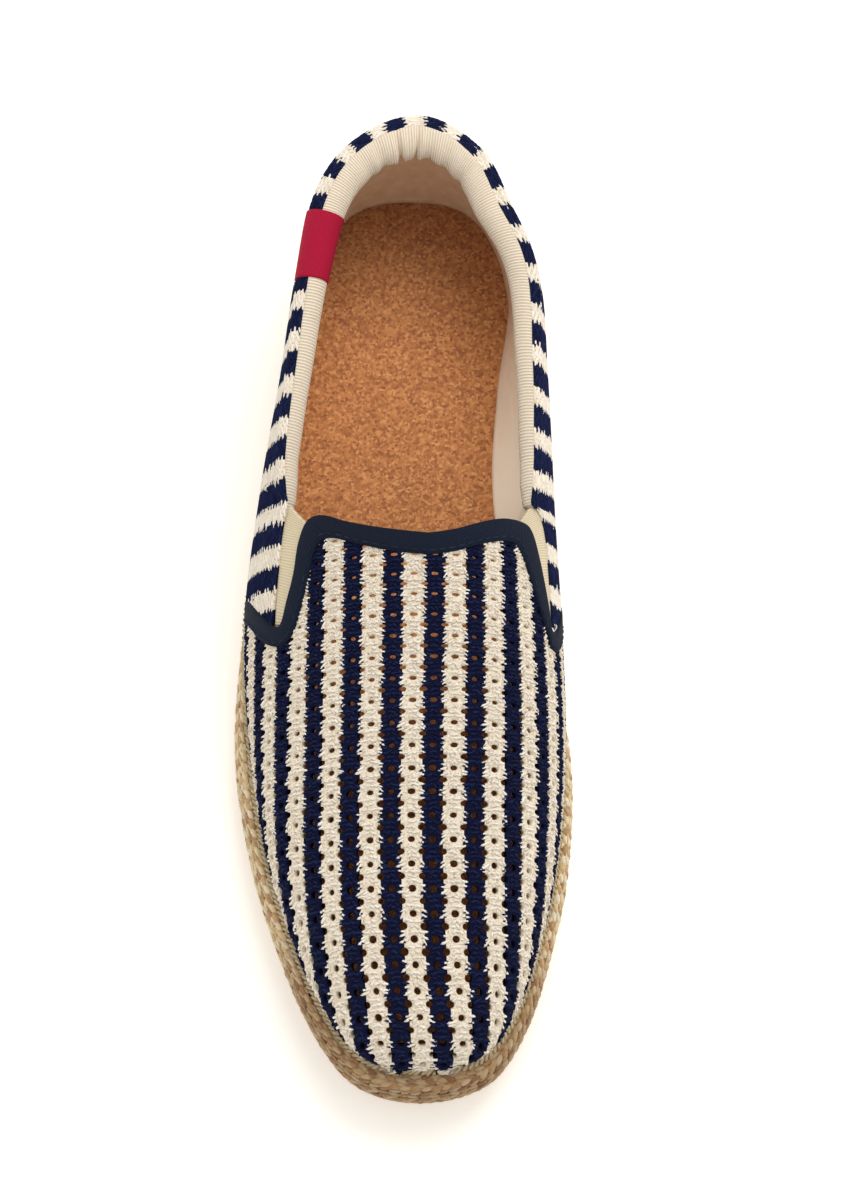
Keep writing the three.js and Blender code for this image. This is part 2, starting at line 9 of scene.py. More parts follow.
import bmesh
import bpy
import numpy as np
from mathutils import Matrix, Vector
from mathutils.bvhtree import BVHTree


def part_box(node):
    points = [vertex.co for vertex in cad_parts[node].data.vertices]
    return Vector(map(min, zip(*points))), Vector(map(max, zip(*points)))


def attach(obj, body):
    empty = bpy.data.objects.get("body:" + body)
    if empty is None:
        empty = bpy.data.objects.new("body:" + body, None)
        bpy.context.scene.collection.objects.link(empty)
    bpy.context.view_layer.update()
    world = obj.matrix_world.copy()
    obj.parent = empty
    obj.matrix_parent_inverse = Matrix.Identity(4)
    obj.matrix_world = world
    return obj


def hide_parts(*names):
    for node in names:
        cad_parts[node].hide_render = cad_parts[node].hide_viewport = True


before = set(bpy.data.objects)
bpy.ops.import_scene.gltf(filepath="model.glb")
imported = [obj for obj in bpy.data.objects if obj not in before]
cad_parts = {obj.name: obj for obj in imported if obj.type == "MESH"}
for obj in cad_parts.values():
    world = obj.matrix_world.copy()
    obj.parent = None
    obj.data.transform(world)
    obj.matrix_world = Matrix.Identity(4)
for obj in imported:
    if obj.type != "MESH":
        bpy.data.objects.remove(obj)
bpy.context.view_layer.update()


# Outsole: a thin plate of pale gum rubber under the rope, moulded with low bars for grip.
# Its outline is the sole's plan, drawn from the half widths of the last, and it lifts at the
# toe. It is glued on under the rope, and only its edge shows while the shoe stands.
millimetre = 0.001
sole_length = 281.0
ball_width = 99.0
heel_stack = 24.0
fore_stack = 20.0
stack_start = 0.14
stack_run = 0.36
toe_spring = 5.0
spring_length = 82.0
outsole_thickness = 4.0
outsole_inset = 1.8
outsole_chamfer = 0.6
seam = 0.3
tread_pitch = 5.2
tread_depth = 0.7
tread_wave = 1.6
tread_wave_length = 17.0
tread_steepness = 1.6
tread_widening = 0.3
treads_across = 40
plain_rim = 1 / 12
outsole_samples = 560
plan_samples = 1200
station_nudge = 0.001
rows = 12
turn = 2 * rows
heel_y = sole_length / 2
plan_lateral = (0.015, 0.207, 0.323, 0.366, 0.402, 0.463, 0.521, 0.541, 0.490, 0.398, 0.295, 0.178, -0.005)
plan_medial = (-0.015, 0.167, 0.278, 0.325, 0.302, 0.302, 0.388, 0.459, 0.451, 0.389, 0.309, 0.198, 0.005)


def ring_of(lateral, medial):
    """Heel to toe on the lateral side, then back to the heel on the medial side"""
    return np.array(list(lateral) + list(medial[-2:0:-1]))


def smooth_between(values, f):
    """Smooth value at a share f of the way from the second to the third of four values"""
    a, b, c, d = values
    return b + 0.5 * f * (c - a + f * (2 * a - 5 * b + 4 * c - d + f * (3 * (b - c) + d - a)))


def around(ring, station):
    """Smooth value of a ring at a station, 0 at the heel and 12 at the toe"""
    start = np.floor(station).astype(int)
    return smooth_between([ring[(start + k) % len(ring)] for k in (-1, 0, 1, 2)], station - start)


plan_ring = ball_width * ring_of([-width for width in plan_lateral], plan_medial)


def lengthwise(station, rear, front):
    """Place along the shoe at a station, from rear at the heel to front at the toe"""
    return (rear + front) / 2 + (rear - front) / 2 * np.cos(np.pi * station / rows)


def spring(y):
    """How far the sole is lifted off the floor, only at the toe"""
    past = np.maximum(0, spring_length - heel_y - y) / spring_length
    return toe_spring * past**2


def stack(y):
    """Thickness of the whole sole, which is thicker under the heel"""
    share = np.clip((y + stack_start * sole_length) / (stack_run * sole_length), 0, 1)
    return fore_stack + (heel_stack - fore_stack) * share**2 * (3 - 2 * share)


def sole_top(y):
    return stack(y) + spring(y)


def outline(station, inset):
    """The plan outline drawn in by inset, with the outward direction there"""
    station = np.asarray(station, float)
    ahead, behind = station + station_nudge, station - station_nudge
    dx = around(plan_ring, ahead) - around(plan_ring, behind)
    dy = lengthwise(ahead, heel_y, -heel_y) - lengthwise(behind, heel_y, -heel_y)
    size = np.hypot(dx, dy)
    nx, ny = dy / size, -dx / size
    x = around(plan_ring, station) - inset * nx
    y = lengthwise(station, heel_y, -heel_y) - inset * ny
    return x, y, nx, ny


edge_x, edge_y, _, _ = outline(np.linspace(0, turn, plan_samples, endpoint=False), outsole_inset)
low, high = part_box("outsole")
shift = np.array([
    (low.x + high.x) / 2 / millimetre - (edge_x.min() + edge_x.max()) / 2,
    (low.y + high.y) / 2 / millimetre - (edge_y.min() + edge_y.max()) / 2,
    0.0,
])


def grid_faces(count, wide, closed=False):
    """Quads between count rows of points, wide points in each"""
    i, j = np.meshgrid(np.arange(count - 1), np.arange(wide if closed else wide - 1), indexing="ij")
    beside = (j + 1) % wide
    corners = (i * wide + j, i * wide + beside, (i + 1) * wide + beside, (i + 1) * wide + j)
    return np.stack(corners, -1).reshape(-1, 4)


def make_piece(name, points, faces, uv=None, tone=None):
    """A smooth mesh from arrays, with flat coordinates and a tone for each point if given"""
    mesh = bpy.data.meshes.new(name)
    faces = np.asarray(faces, np.int32)
    mesh.vertices.add(len(points))
    mesh.vertices.foreach_set("co", ((points + shift) * millimetre).astype(np.float32).ravel())
    mesh.loops.add(faces.size)
    mesh.loops.foreach_set("vertex_index", faces.ravel())
    mesh.polygons.add(len(faces))
    starts = np.arange(0, faces.size, faces.shape[1], dtype=np.int32)
    mesh.polygons.foreach_set("loop_start", starts)
    mesh.polygons.foreach_set("use_smooth", np.ones(len(faces), bool))
    mesh.update(calc_edges=True)
    if uv is not None:
        flat = mesh.uv_layers.new(name="laid_flat")
        flat.data.foreach_set("uv", uv[faces.ravel()].astype(np.float32).ravel())
    if tone is not None:
        mesh.attributes.new("tone", "FLOAT", "POINT").data.foreach_set("value", tone.astype(np.float32))
    piece = bpy.data.objects.new(name, mesh)
    bpy.context.scene.collection.objects.link(piece)
    return piece


def weld(piece, distance=0.02):
    """Points that meet become one, and the faces are turned outwards"""
    shell = bmesh.new()
    shell.from_mesh(piece.data)
    bmesh.ops.remove_doubles(shell, verts=shell.verts, dist=distance * millimetre)
    bmesh.ops.recalc_face_normals(shell, faces=shell.faces)
    shell.to_mesh(piece.data)
    shell.free()


def gather(parts):
    """Several (points, faces) pairs as one pair"""
    starts = np.cumsum([0] + [len(points) for points, _ in parts[:-1]])
    faces = np.concatenate([part[1] + start for part, start in zip(parts, starts)])
    return np.concatenate([part[0] for part in parts]), faces


def lid(ring, across):
    """Grid over a ring of points, from its lateral half to its medial half"""
    half = len(ring) // 2
    j = np.arange(half + 1)
    share = np.linspace(0, 1, across + 1)[None, :, None]
    points = ring[j][:, None] * (1 - share) + ring[-j % len(ring)][:, None] * share
    return points, grid_faces(half + 1, across + 1)


def level(stations, inset, height):
    """Ring of the plan drawn in by inset, at the height that goes with each y"""
    x, y, _, _ = outline(stations, inset)
    return np.stack([x, y, height(y)], -1)


class Link:
    """A shader socket that adds a Math node wherever it is used in a sum"""

    def __init__(self, finish, socket):
        self.finish = finish
        self.socket = socket

    def joined(self, operation, *values):
        return self.finish.node("ShaderNodeMath", {"operation": operation}, dict(enumerate(values)))

    def __add__(self, other):
        return self.joined("ADD", self, other)

    def __sub__(self, other):
        return self.joined("SUBTRACT", self, other)

    def __rsub__(self, other):
        return self.joined("SUBTRACT", other, self)

    def __mul__(self, other):
        return self.joined("MULTIPLY", self, other)

    def __truediv__(self, other):
        return self.joined("DIVIDE", self, other)

    def __gt__(self, other):
        return self.joined("GREATER_THAN", self, other)

    def __mod__(self, other):
        return self.joined("FLOORED_MODULO", self, other)

    def __abs__(self):
        return self.joined("ABSOLUTE", self)

    def sine(self):
        return self.joined("SINE", self)

    __radd__ = __add__
    __rmul__ = __mul__


class Finish:
    """A surface finish built on the Principled shader"""

    def __init__(self, name, **constants):
        self.material = bpy.data.materials.new(name)
        self.material.use_nodes = True
        self.tree = self.material.node_tree
        self.shader = self.tree.nodes["Principled BSDF"]
        for socket, value in constants.items():
            self.shader.inputs[socket.replace("_", " ")].default_value = value

    def node(self, kind, settings=None, inputs=None, output=0):
        """Adds a node, sets it up, feeds it and gives its output"""
        made = self.tree.nodes.new(kind)
        for setting, value in (settings or {}).items():
            if setting == "stops":
                self.set_stops(made.color_ramp, value)
            else:
                setattr(made, setting, value)
        for socket, value in (inputs or {}).items():
            self.feed(made.inputs[socket], value)
        return Link(self, made.outputs[output])

    def set_stops(self, ramp, stops):
        while len(ramp.elements) < len(stops):
            ramp.elements.new(1.0)
        for element, (place, color) in zip(ramp.elements, stops):
            element.position = place
            element.color = color

    def feed(self, socket, value):
        if isinstance(value, Link):
            self.tree.links.new(value.socket, socket)
        else:
            socket.default_value = value

    def set(self, socket, value):
        self.feed(self.shader.inputs[socket], value)

    def ramp(self, factor, *stops):
        return self.node("ShaderNodeValToRGB", {"stops": stops}, {0: factor})

    def mix(self, factor, first, second, blend="MIX"):
        settings = {"data_type": "RGBA", "blend_type": blend}
        return self.node("ShaderNodeMix", settings, {0: factor, 6: first, 7: second}, output=2)

    def flat(self, along, across):
        """The piece's flat coordinates, each times its own number"""
        place = self.node("ShaderNodeUVMap", {"uv_map": "laid_flat"})
        settings = {"operation": "MULTIPLY"}
        return self.node("ShaderNodeVectorMath", settings, {0: place, 1: (along, across, 1.0)})

    def solid(self):
        """Coordinates in millimetres of the shoe"""
        place = self.node("ShaderNodeTexCoord", output="Object")
        settings = {"operation": "MULTIPLY"}
        return self.node("ShaderNodeVectorMath", settings, {0: place, 1: (1000.0, 1000.0, 1000.0)})

    def tone(self):
        """The tone that each strand or stitch of the piece has, from 0 to 1"""
        return self.node("ShaderNodeAttribute", {"attribute_name": "tone"}, output="Fac")

    def axis(self, vector, name):
        return self.node("ShaderNodeSeparateXYZ", {}, {0: vector}, output=name)

    def ripples(self, along, across):
        """Waves from -1 to 1 along and across the piece, of the given lengths in millimetres"""
        place = self.flat(2 * math.pi / along, 2 * math.pi / across)
        return self.axis(place, "X").sine(), self.axis(place, "Y").sine()

    def noise(self, vector, scale, detail=2.0, roughness=0.5):
        sockets = {"Vector": vector, "Scale": scale, "Detail": detail, "Roughness": roughness}
        return self.node("ShaderNodeTexNoise", {}, sockets)

    def relief(self, height, depth):
        """Bump of a height from 0 to 1 that is depth millimetres deep"""
        sockets = {"Height": height, "Distance": depth * millimetre, "Strength": 1.0}
        self.set("Normal", self.node("ShaderNodeBump", {}, sockets))


def dye(code):
    """Linear colour of a six-digit colour code"""
    parts = [int(code[i:i + 2], 16) / 255 for i in (0, 2, 4)]
    return (*[c / 12.92 if c <= 0.04045 else ((c + 0.055) / 1.055) ** 2.4 for c in parts], 1.0)


def fit(piece, finish, slot, *nodes):
    """Gives a piece its finish and fixes it to the shoe in place of the nodes it stands for"""
    piece.data.materials.append(finish.material)
    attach(piece, "root")
    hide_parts(*nodes)


def tread(points):
    """Bars across the sole, moulded into its underside but left flat towards the rim"""
    x, y = points[..., 0], points[..., 1]
    wave = tread_wave * np.sin(2 * np.pi * x / tread_wave_length)
    bar = np.clip(tread_steepness * np.sin(2 * np.pi * (y + wave) / tread_pitch) + tread_widening, 0, 1)
    across = np.linspace(0, 1, points.shape[1])
    off_rim = np.clip(np.minimum(across, 1 - across) / plain_rim - 1, 0, 1)
    return tread_depth * bar * off_rim


sole_stations = np.linspace(0, turn, outsole_samples, endpoint=False)
under = level(sole_stations, outsole_inset + outsole_chamfer, spring)
outsole_rings = [
    under,
    level(sole_stations, outsole_inset, lambda y: spring(y) + outsole_chamfer),
    level(sole_stations, outsole_inset, lambda y: spring(y) + outsole_thickness),
]
treads, tread_faces = lid(under, treads_across)
treads[..., 2] += tread(treads)
top_lid, top_faces = lid(outsole_rings[-1], 4)
outsole_parts = [
    (np.concatenate(outsole_rings), grid_faces(3, len(sole_stations), closed=True)),
    (treads.reshape(-1, 3), tread_faces),
    (top_lid.reshape(-1, 3), top_faces),
]
outsole = make_piece("rubber_outsole", *gather(outsole_parts))
weld(outsole)
rubber = Finish("gum_rubber", Roughness=0.62)
crumb = rubber.noise(rubber.solid(), 0.35, 4.0, 0.6)
rubber.set("Base Color", rubber.ramp(crumb, (0.3, dye("a9814f")), (0.7, dye("c29a66"))))
rubber.relief(rubber.noise(rubber.solid(), 2.2), 0.12)
fit(outsole, rubber, "rubber", "outsole")


# Midsole: four rows of braided jute, wound round and sewn through into one thick rope sole.
# Each braid shows as two lines of slanting strands of mixed straw, and braids also cover the
# ledge that stands out round the upper at the toe. Towards the toe tip their colour is darkened and greyed
# as painted shade.
sole_lip = 5.0
lip_lateral = (0.64, 0.48, 0.32, 0.20, 0.20, 0.24, 0.32, 1.00, 1.00, 1.00, 1.10, 1.36, 1.62)
lip_medial = (0.64, 0.48, 0.32, 0.20, 0.20, 0.20, 0.30, 0.80, 1.00, 1.00, 1.12, 1.40, 1.62)
side_rounding = 2.2
braid_lines = 8
strand_spacing = 2.9
strand_length = 3.9
strand_width = 1.8
strand_height = 1.7
strand_slant = math.radians(15)
strand_dip = 0.12
place_jitter = 0.06
slant_jitter = 0.07
tone_swing = 0.26
tone_jitter = 0.16
braid_samples = 2401
braid_shift = 0.15
belly_share = 0.45
lean_at_foot = -25
lean_range = 60
ledge_lines = 5
ledge_line_gap = 1.8
ledge_start = 0.3
ledge_reach = 1.2
ledge_sink = 0.42
ledge_lean = math.radians(78)
toe_shade_from = -92.0
toe_shade_run = 22.0
lip_ring = sole_lip * ring_of(lip_lateral, lip_medial)
chance = np.random.default_rng(7)


def bead(sides, rings, taper):
    """A closed strand from -1 to 1, as points (along, across, out) and triangles"""
    along = -np.cos(np.pi * np.arange(1, rings + 1) / (rings + 1))
    thick = (1 - np.abs(along) ** taper) ** 0.5
    angle = -np.pi / 2 + 2 * np.pi * np.arange(sides) / sides
    body = [(a, t * math.cos(b), t * math.sin(b)) for a, t in zip(along, thick) for b in angle]
    points = np.array([(-1, 0, 0), *body, (1, 0, 0)])
    last = len(points) - 1
    faces = []
    for j in range(sides):
        k = (j + 1) % sides
        faces += [(0, 1 + k, 1 + j), (last, last - sides + j, last - sides + k)]
        for i in range(rings - 1):
            a, b = 1 + i * sides + j, 1 + i * sides + k
            faces += [(a, b, b + sides), (a, b + sides, a + sides)]
    return points, np.array(faces)


def strew(form, centres, along, across, out):
    """A copy of a form at each centre, stretched along its own three half axes"""
    points, faces = form
    placed = centres[:, None] + sum(
        points[None, :, i, None] * half[:, None] for i, half in enumerate((along, across, out))
    )
    step = len(points) * np.arange(len(centres))[:, None, None]
    return placed.reshape(-1, 3), (faces[None] + step).reshape(-1, 3)


def strand_coordinates(form, length):
    """Flat coordinates for copies of a form: millimetres along it and a share of its girth"""
    points = form[0]
    girth = np.arctan2(points[:, 2], points[:, 1]) / (2 * np.pi)
    along = points[None, :, 0] * length[:, None] + chance.uniform(0, 90, (len(length), 1))
    return np.stack([along, np.broadcast_to(girth, along.shape)], -1).reshape(-1, 2)


def strands(form, centres, directions, half_sizes):
    """Points, faces and flat coordinates of strands, sized along, across and out from centres"""
    sizes = [np.broadcast_to(size, len(centres)) for size in half_sizes]
    axes = (direction * size[:, None] for direction, size in zip(directions, sizes))
    points, faces = strew(form, centres, *axes)
    return points, faces, strand_coordinates(form, sizes[0])


def unit(vectors):
    return vectors / np.linalg.norm(vectors, axis=-1, keepdims=True)


def run_along(line):
    """Distance of each point of a line from its first point, measured along the line"""
    return np.concatenate([[0], np.cumsum(np.linalg.norm(np.diff(line, axis=0), axis=1))])


def resample(line, at, wanted):
    """Points of a line at the wanted places, where at holds the places of its own points"""
    return np.stack([np.interp(wanted, at, column) for column in line.T], -1)


def belly(share):
    """How far the rounded side of the rope sole is drawn in at a share of its height"""
    return side_rounding * (2 * (share - belly_share)) ** 2


def rope_height(y, share, drop=0.0):
    """Height of a place on the rope's side, a share of the way up to drop below its top"""
    return spring(y) + outsole_thickness + seam + share * (stack(y) - outsole_thickness - seam - drop)


def braid_line(inset, height, lean, slant, first, keep=None, spacing=strand_spacing):
    """Centres and half axes of the strands of one line; lean turns them from side to top"""
    stations = np.linspace(0, turn, braid_samples)
    x, y, _, _ = outline(stations, inset)
    line = np.stack([x, y, height(y)], -1)
    run = run_along(line)
    count = int(run[-1] / spacing)
    place = (np.arange(count) + first + chance.normal(0, place_jitter, count)) * run[-1] / count
    wanted = np.interp(place % run[-1], run, stations)
    if keep is not None:
        wanted = wanted[keep(wanted)]
    _, _, nx, ny = outline(wanted, 0)
    centres = resample(line, stations, wanted)
    forward = np.stack([-ny, nx, 0 * nx], -1)
    out = np.stack([nx * math.cos(lean), ny * math.cos(lean), 0 * nx + math.sin(lean)], -1)
    side = np.cross(out, forward)
    tilt = (slant + chance.normal(0, slant_jitter, len(wanted)))[:, None]
    along = forward * np.cos(tilt) + side * np.sin(tilt) - strand_dip * out
    across = side * np.cos(tilt) - forward * np.sin(tilt)
    return centres, unit(along), across, out


jute_lines = []
for line in range(braid_lines):
    share = (line + 0.5) / braid_lines
    jute_lines.append(braid_line(
        belly(share) + strand_height / 2,
        lambda y: rope_height(y, share),
        math.radians(lean_at_foot + lean_range * share),
        strand_slant * (-1) ** line,
        0.5 * (line % 2) + braid_shift * (line // 2),
    ))
for line in range(ledge_lines):
    inset = side_rounding + ledge_start + ledge_line_gap * line
    jute_lines.append(braid_line(
        inset,
        lambda y: sole_top(y) - strand_height * ledge_sink,
        ledge_lean,
        strand_slant * (-1) ** line,
        0.5 * (line % 2),
        keep=lambda station: around(lip_ring, station) > inset - ledge_reach,
    ))
centres, along, across, out = (np.concatenate(part) for part in zip(*jute_lines))
count = len(centres)
strand = bead(6, 4, 2.2)
strand_sizes = (
    strand_length / 2 * chance.uniform(0.88, 1.12, count),
    strand_width / 2 * chance.uniform(0.9, 1.1, count),
    strand_height / 2 * chance.uniform(0.85, 1.1, count),
)
laid_jute = strands(strand, centres, (along, across, out), strand_sizes)
alternate = 0.5 + tone_swing * (-1.0) ** np.arange(count)
jute_tone = np.clip(alternate + chance.normal(0, tone_jitter, count), 0, 1)
braid = make_piece("jute_braid", *laid_jute, np.repeat(jute_tone, len(strand[0])))
jute = Finish("braided_jute", Roughness=0.78, Sheen_Weight=0.25)
fibre = jute.noise(jute.flat(0.5, 26.0), 1.0, 3.0, 0.6)
streak = jute.noise(jute.flat(0.9, 9.0), 1.0, 1.0)
straw = jute.ramp(
    jute.tone() + 0.5 * (streak - 0.5),
    (0.0, dye("b98b5a")),
    (0.18, dye("dab07c")),
    (0.36, dye("e8c892")),
    (0.52, dye("f4d8a6")),
    (0.74, dye("fce5b8")),
    (1.0, dye("ffefd0")),
)
fibre_shade = jute.ramp(fibre, (0.25, dye("8e8374")), (0.6, dye("ffffff")))
fibred = jute.mix(0.4, straw, fibre_shade, "MULTIPLY")
# Painted shade: the straw is darkened and greyed towards the toe tip.
toe_shade = (toe_shade_from - jute.axis(jute.solid(), "Y")) / toe_shade_run
jute.set("Base Color", jute.mix(toe_shade, fibred, jute.mix(1.0, fibred, dye("c9b8a4"), "MULTIPLY")))
jute.relief(fibre, 0.5)
fit(braid, jute, "jute", "midsole")


# Rope core: the inside of the coiled rope, which shows only as a brown shadow between the
# strands. It is made a little smaller than the braids on every side and carries them.
core_depth = 1.0
core_samples = 240
core_shares = np.linspace(0.03, 1, 7)
core_stations = np.linspace(0, turn, core_samples, endpoint=False)
core_levels = [
    level(core_stations, belly(share) + core_depth, lambda y: rope_height(y, share, core_depth / 2))
    for share in core_shares
]
core_parts = [(np.concatenate(core_levels), grid_faces(len(core_levels), core_samples, closed=True))]
for ring in (core_levels[0], core_levels[-1]):
    cover, cover_faces = lid(ring, 6)
    core_parts.append((cover.reshape(-1, 3), cover_faces))
core = make_piece("rope_core", *gather(core_parts))
weld(core)
coir = Finish("rope_shadow", Roughness=0.95)
hairs = coir.noise(coir.solid(), 0.9, 4.0, 0.7)
coir.set("Base Color", coir.ramp(hairs, (0.3, dye("967552")), (0.7, dye("d0b189"))))
coir.relief(coir.noise(coir.solid(), 1.4, 3.0), 0.5)
fit(core, coir, "jute")


# Twine: one line of straw-coloured twine that sews the upper down on the rope, all the way
# round. Its turns lie close together in the corner between the two.
twine_spacing = 1.7
twine_out_by = 0.7
twine_lift = 0.35
twine_lean = math.radians(60)
twine_slant = math.radians(38)
twine_half_sizes = (1.7, 0.75, 0.7)
twine_centres, *twine_directions = braid_line(
    around(lip_ring, np.linspace(0, turn, braid_samples)) - twine_out_by,
    lambda y: sole_top(y) + twine_lift,
    twine_lean,
    twine_slant,
    0.0,
    spacing=twine_spacing,
)
laid_twine = strands(bead(5, 3, 2.4), twine_centres, twine_directions, twine_half_sizes)
twine = make_piece("seam_twine", *laid_twine)
hemp = Finish("straw_twine", Roughness=0.9)
hemp_fibre = hemp.noise(hemp.flat(0.8, 20.0), 1.0, 3.0, 0.6)
hemp.set("Base Color", hemp.ramp(hemp_fibre, (0.3, dye("b29b76")), (0.7, dye("dccaa4"))))
hemp.relief(hemp_fibre, 0.4)
fit(twine, hemp, "jute")


# Insole: a thin sheet of pressed cork crumbs, cut to the last and glued on the rope inside the
# upper. The node from the frame has the right shape, and it only gets its finish here.
heel_shade_from = 84.0
heel_shade_run = 50.0
cork = Finish("pressed_cork", Roughness=0.72)
crumbs = cork.node(
    "ShaderNodeTexVoronoi", {}, {"Vector": cork.solid(), "Scale": 1.25, "Randomness": 1.0}, output="Color"
)
crumb_tone = cork.axis(crumbs, "X")
fine = cork.noise(cork.solid(), 2.1, 3.0, 0.65)
cork_shade = cork.ramp(
    0.62 * crumb_tone + 0.38 * fine,
    (0.16, dye("8c5029")),
    (0.36, dye("ac6b38")),
    (0.55, dye("bb7841")),
    (0.72, dye("ca884e")),
    (0.90, dye("dba167")),
)
speck = cork.noise(cork.solid(), 1.05, 1.0) > 0.67
# Painted shade: the cork darkens towards the heel, where the collar would shadow it; the dark specks are
# the cork's own.
heel_shade = (cork.axis(cork.solid(), "Y") - heel_shade_from) / heel_shade_run
shaded_cork = cork.mix(0.42 * heel_shade, cork.mix(0.5 * speck, cork_shade, dye("74401f")), dye("4a2812"))
cork.set("Base Color", shaded_cork)
cork.relief(0.5 * crumb_tone + 0.5 * fine, 0.25)
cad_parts["insole"].material_slots[0].material = cork.material


# Last: the form that the whole upper is pulled over. Every knitted, woven or elastic piece
# that follows lies on this skin, at its own offset from it. A station runs round the plan, and
# climb goes from the seam on the rope at 0 to the crest of the foot at 1.
instep_rise = 55.5
heel_rise = 42.0
upper_wall = 2.4
vamp_length = 152.0
gore_depth = 20.0
crest_from_heel = 0.157
crest_from_toe = 0.107
swell_lift = 0.6
halvings = 30
bulge_lateral = (0.060, 0.034, 0.028, 0.026, 0.030, 0.028, 0.016, 0.012, 0.010, 0.010, 0.010, 0.010, 0.010)
bulge_medial = (0.060, 0.026, 0.008, 0.042, 0.088, 0.106, 0.050, 0.016, 0.010, 0.010, 0.010, 0.010, 0.010)
full_lateral = (4.0, 3.2, 2.8, 2.9, 2.8, 2.5, 2.1, 1.9, 1.9, 2.0, 2.1, 2.1, 2.1)
full_medial = (4.0, 3.2, 2.6, 2.9, 2.8, 2.6, 2.4, 2.3, 2.2, 2.1, 2.1, 2.1, 2.1)
ridge_side = (-0.020, -0.020, -0.020, -0.010, -0.005, 0.0, 0.020, 0.045, 0.050, 0.040, 0.030, 0.020, 0.015)
ridge_rise = (1.351, 1.351, 1.333, 1.261, 1.159, 1.036, 0.911, 0.766, 0.630, 0.516, 0.425, 0.364, 0.342)
topline_at = (-0.20, 0.00, 0.15, 0.30, 0.46, 0.62, 0.78, 0.88, 0.945, 1.20)
topline_height = (1.000, 1.000, 0.975, 0.920, 0.860, 0.820, 0.805, 0.835, 0.985, 0.985)
bulge_ring = ball_width * ring_of(bulge_lateral, bulge_medial)
full_ring = ring_of(full_lateral, full_medial)
ridge_side_ring = ball_width * ring_of(ridge_side, ridge_side)
ridge_rise_ring = instep_rise * ring_of(ridge_rise, ridge_rise)
throat_y = vamp_length - heel_y
crest_rear_y = heel_y - crest_from_heel * sole_length
crest_front_y = crest_from_toe * sole_length - heel_y


def skin(station, climb, offset):
    """Points of the last moved outwards by offset"""
    x, y, nx, ny = outline(station, around(lip_ring, station) - offset)
    power = 2 / around(full_ring, station)
    angle = np.clip(climb, 0, 1) * np.pi / 2
    inwards = 1 - np.maximum(0, np.cos(angle)) ** power
    upwards = np.sin(angle) ** power
    swell = around(bulge_ring, station) * np.sin(np.pi * np.minimum(1, upwards) ** swell_lift)
    crest_y = lengthwise(station, crest_rear_y, crest_front_y)
    crest_z = sole_top(crest_y) + around(ridge_rise_ring, station) + offset
    base_z = sole_top(y) + seam
    return np.stack([
        x + (around(ridge_side_ring, station) - x) * inwards + nx * swell,
        y + (crest_y - y) * inwards + ny * swell,
        base_z + (crest_z - base_z) * upwards,
    ], -1)


def station_at(side, y, climb):
    """Station on one side of the last where the skin at a climb has the wanted y"""
    y, climb = np.broadcast_arrays(np.asarray(y, float), np.asarray(climb, float))
    low_end, high_end = np.zeros(y.shape), np.full(y.shape, float(rows))
    for _ in range(halvings):
        middle = (low_end + high_end) / 2
        station = middle if side == "lateral" else turn - middle
        behind = skin(station, climb, 0.0)[..., 1] > y
        low_end, high_end = np.where(behind, middle, low_end), np.where(behind, high_end, middle)
    return low_end if side == "lateral" else turn - low_end


def topline_z(y):
    """Height of the shoe's mouth at a place along it"""
    at = (heel_y - y) / (heel_y - throat_y)
    return sole_top(y) + heel_rise * np.interp(at, topline_at, topline_height)


def climb_at_top(station):
    """Climb at which the skin reaches the topline"""
    low_end, high_end = np.zeros(len(station)), np.ones(len(station))
    for _ in range(halvings):
        middle = (low_end + high_end) / 2
        points = skin(station, middle, 0.0)
        below = points[:, 2] < topline_z(points[:, 1])
        low_end, high_end = np.where(below, middle, low_end), np.where(below, high_end, middle)
    return low_end


def smooth_along(column, t):
    """Smooth value of a table's column, t from 0 to 1"""
    column = np.asarray(column, float)
    last = len(column) - 1
    place = np.clip(t, 0, 1) * last
    start = np.minimum(np.floor(place).astype(int), last - 1)
    return smooth_between([column[np.clip(start + k, 0, last)] for k in (-1, 0, 1, 2)], place - start)


# Lines of the vamp's edge from the sole up to the middle of the throat: back is the distance
# behind the middle of the throat as a share of the gore's depth, then the climb on each side.
tape_rear = {
    "back": (-0.20, -0.45, -0.75, -0.98, -0.99, -0.70, -0.35, 0.05, 0.30, 0.38, 0.35, 0.22, 0.09, 0.0),
    "lateral": (0, 0.173, 0.29, 0.37, 0.42, 0.455, 0.49, 0.51, 0.54, 0.58, 0.64, 0.73, 0.86, 1),
    "medial": (0, 0.13, 0.22, 0.30, 0.35, 0.365, 0.39, 0.42, 0.45, 0.50, 0.62, 0.76, 0.88, 1),
}
tape_front = {
    "back": (
        -0.55, -0.80, -1.08, -1.26, -1.26, -1.08, -0.77, -0.40, -0.10, 0.04, 0.02, -0.10, -0.22, -0.29,
    ),
    "lateral": (0, 0.18, 0.28, 0.37, 0.44, 0.488, 0.525, 0.56, 0.585, 0.625, 0.68, 0.77, 0.88, 1),
    "medial": (0, 0.14, 0.21, 0.29, 0.36, 0.39, 0.44, 0.49, 0.53, 0.575, 0.66, 0.79, 0.90, 1),
}
gore_front = {
    "back": (-0.98, -0.70, -0.35, 0.05, 0.30, 0.45, 0.50),
    "lateral": (0.418, 0.455, 0.490, 0.510, 0.540, 0.600, 0.720),
    "medial": (0.345, 0.365, 0.390, 0.420, 0.450, 0.520, 0.640),
}
gore_rear = {
    "back": (-0.96, -0.62, -0.25, 0.15, 0.52, 0.72, 0.80),
    "lateral": (0.388, 0.408, 0.422, 0.428, 0.432, 0.480, 0.600),
    "medial": (0.318, 0.318, 0.316, 0.316, 0.322, 0.370, 0.520),
}


def edge_line(table, side, t):
    """The y and the climb of a line of the table at t"""
    return throat_y + gore_depth * smooth_along(table["back"], t), smooth_along(table[side], t)


def on_skin(side, y, climb, offset):
    """Points of the skin on one side of the shoe, given by their y instead of their station"""
    return skin(station_at(side, y, climb), climb, offset)


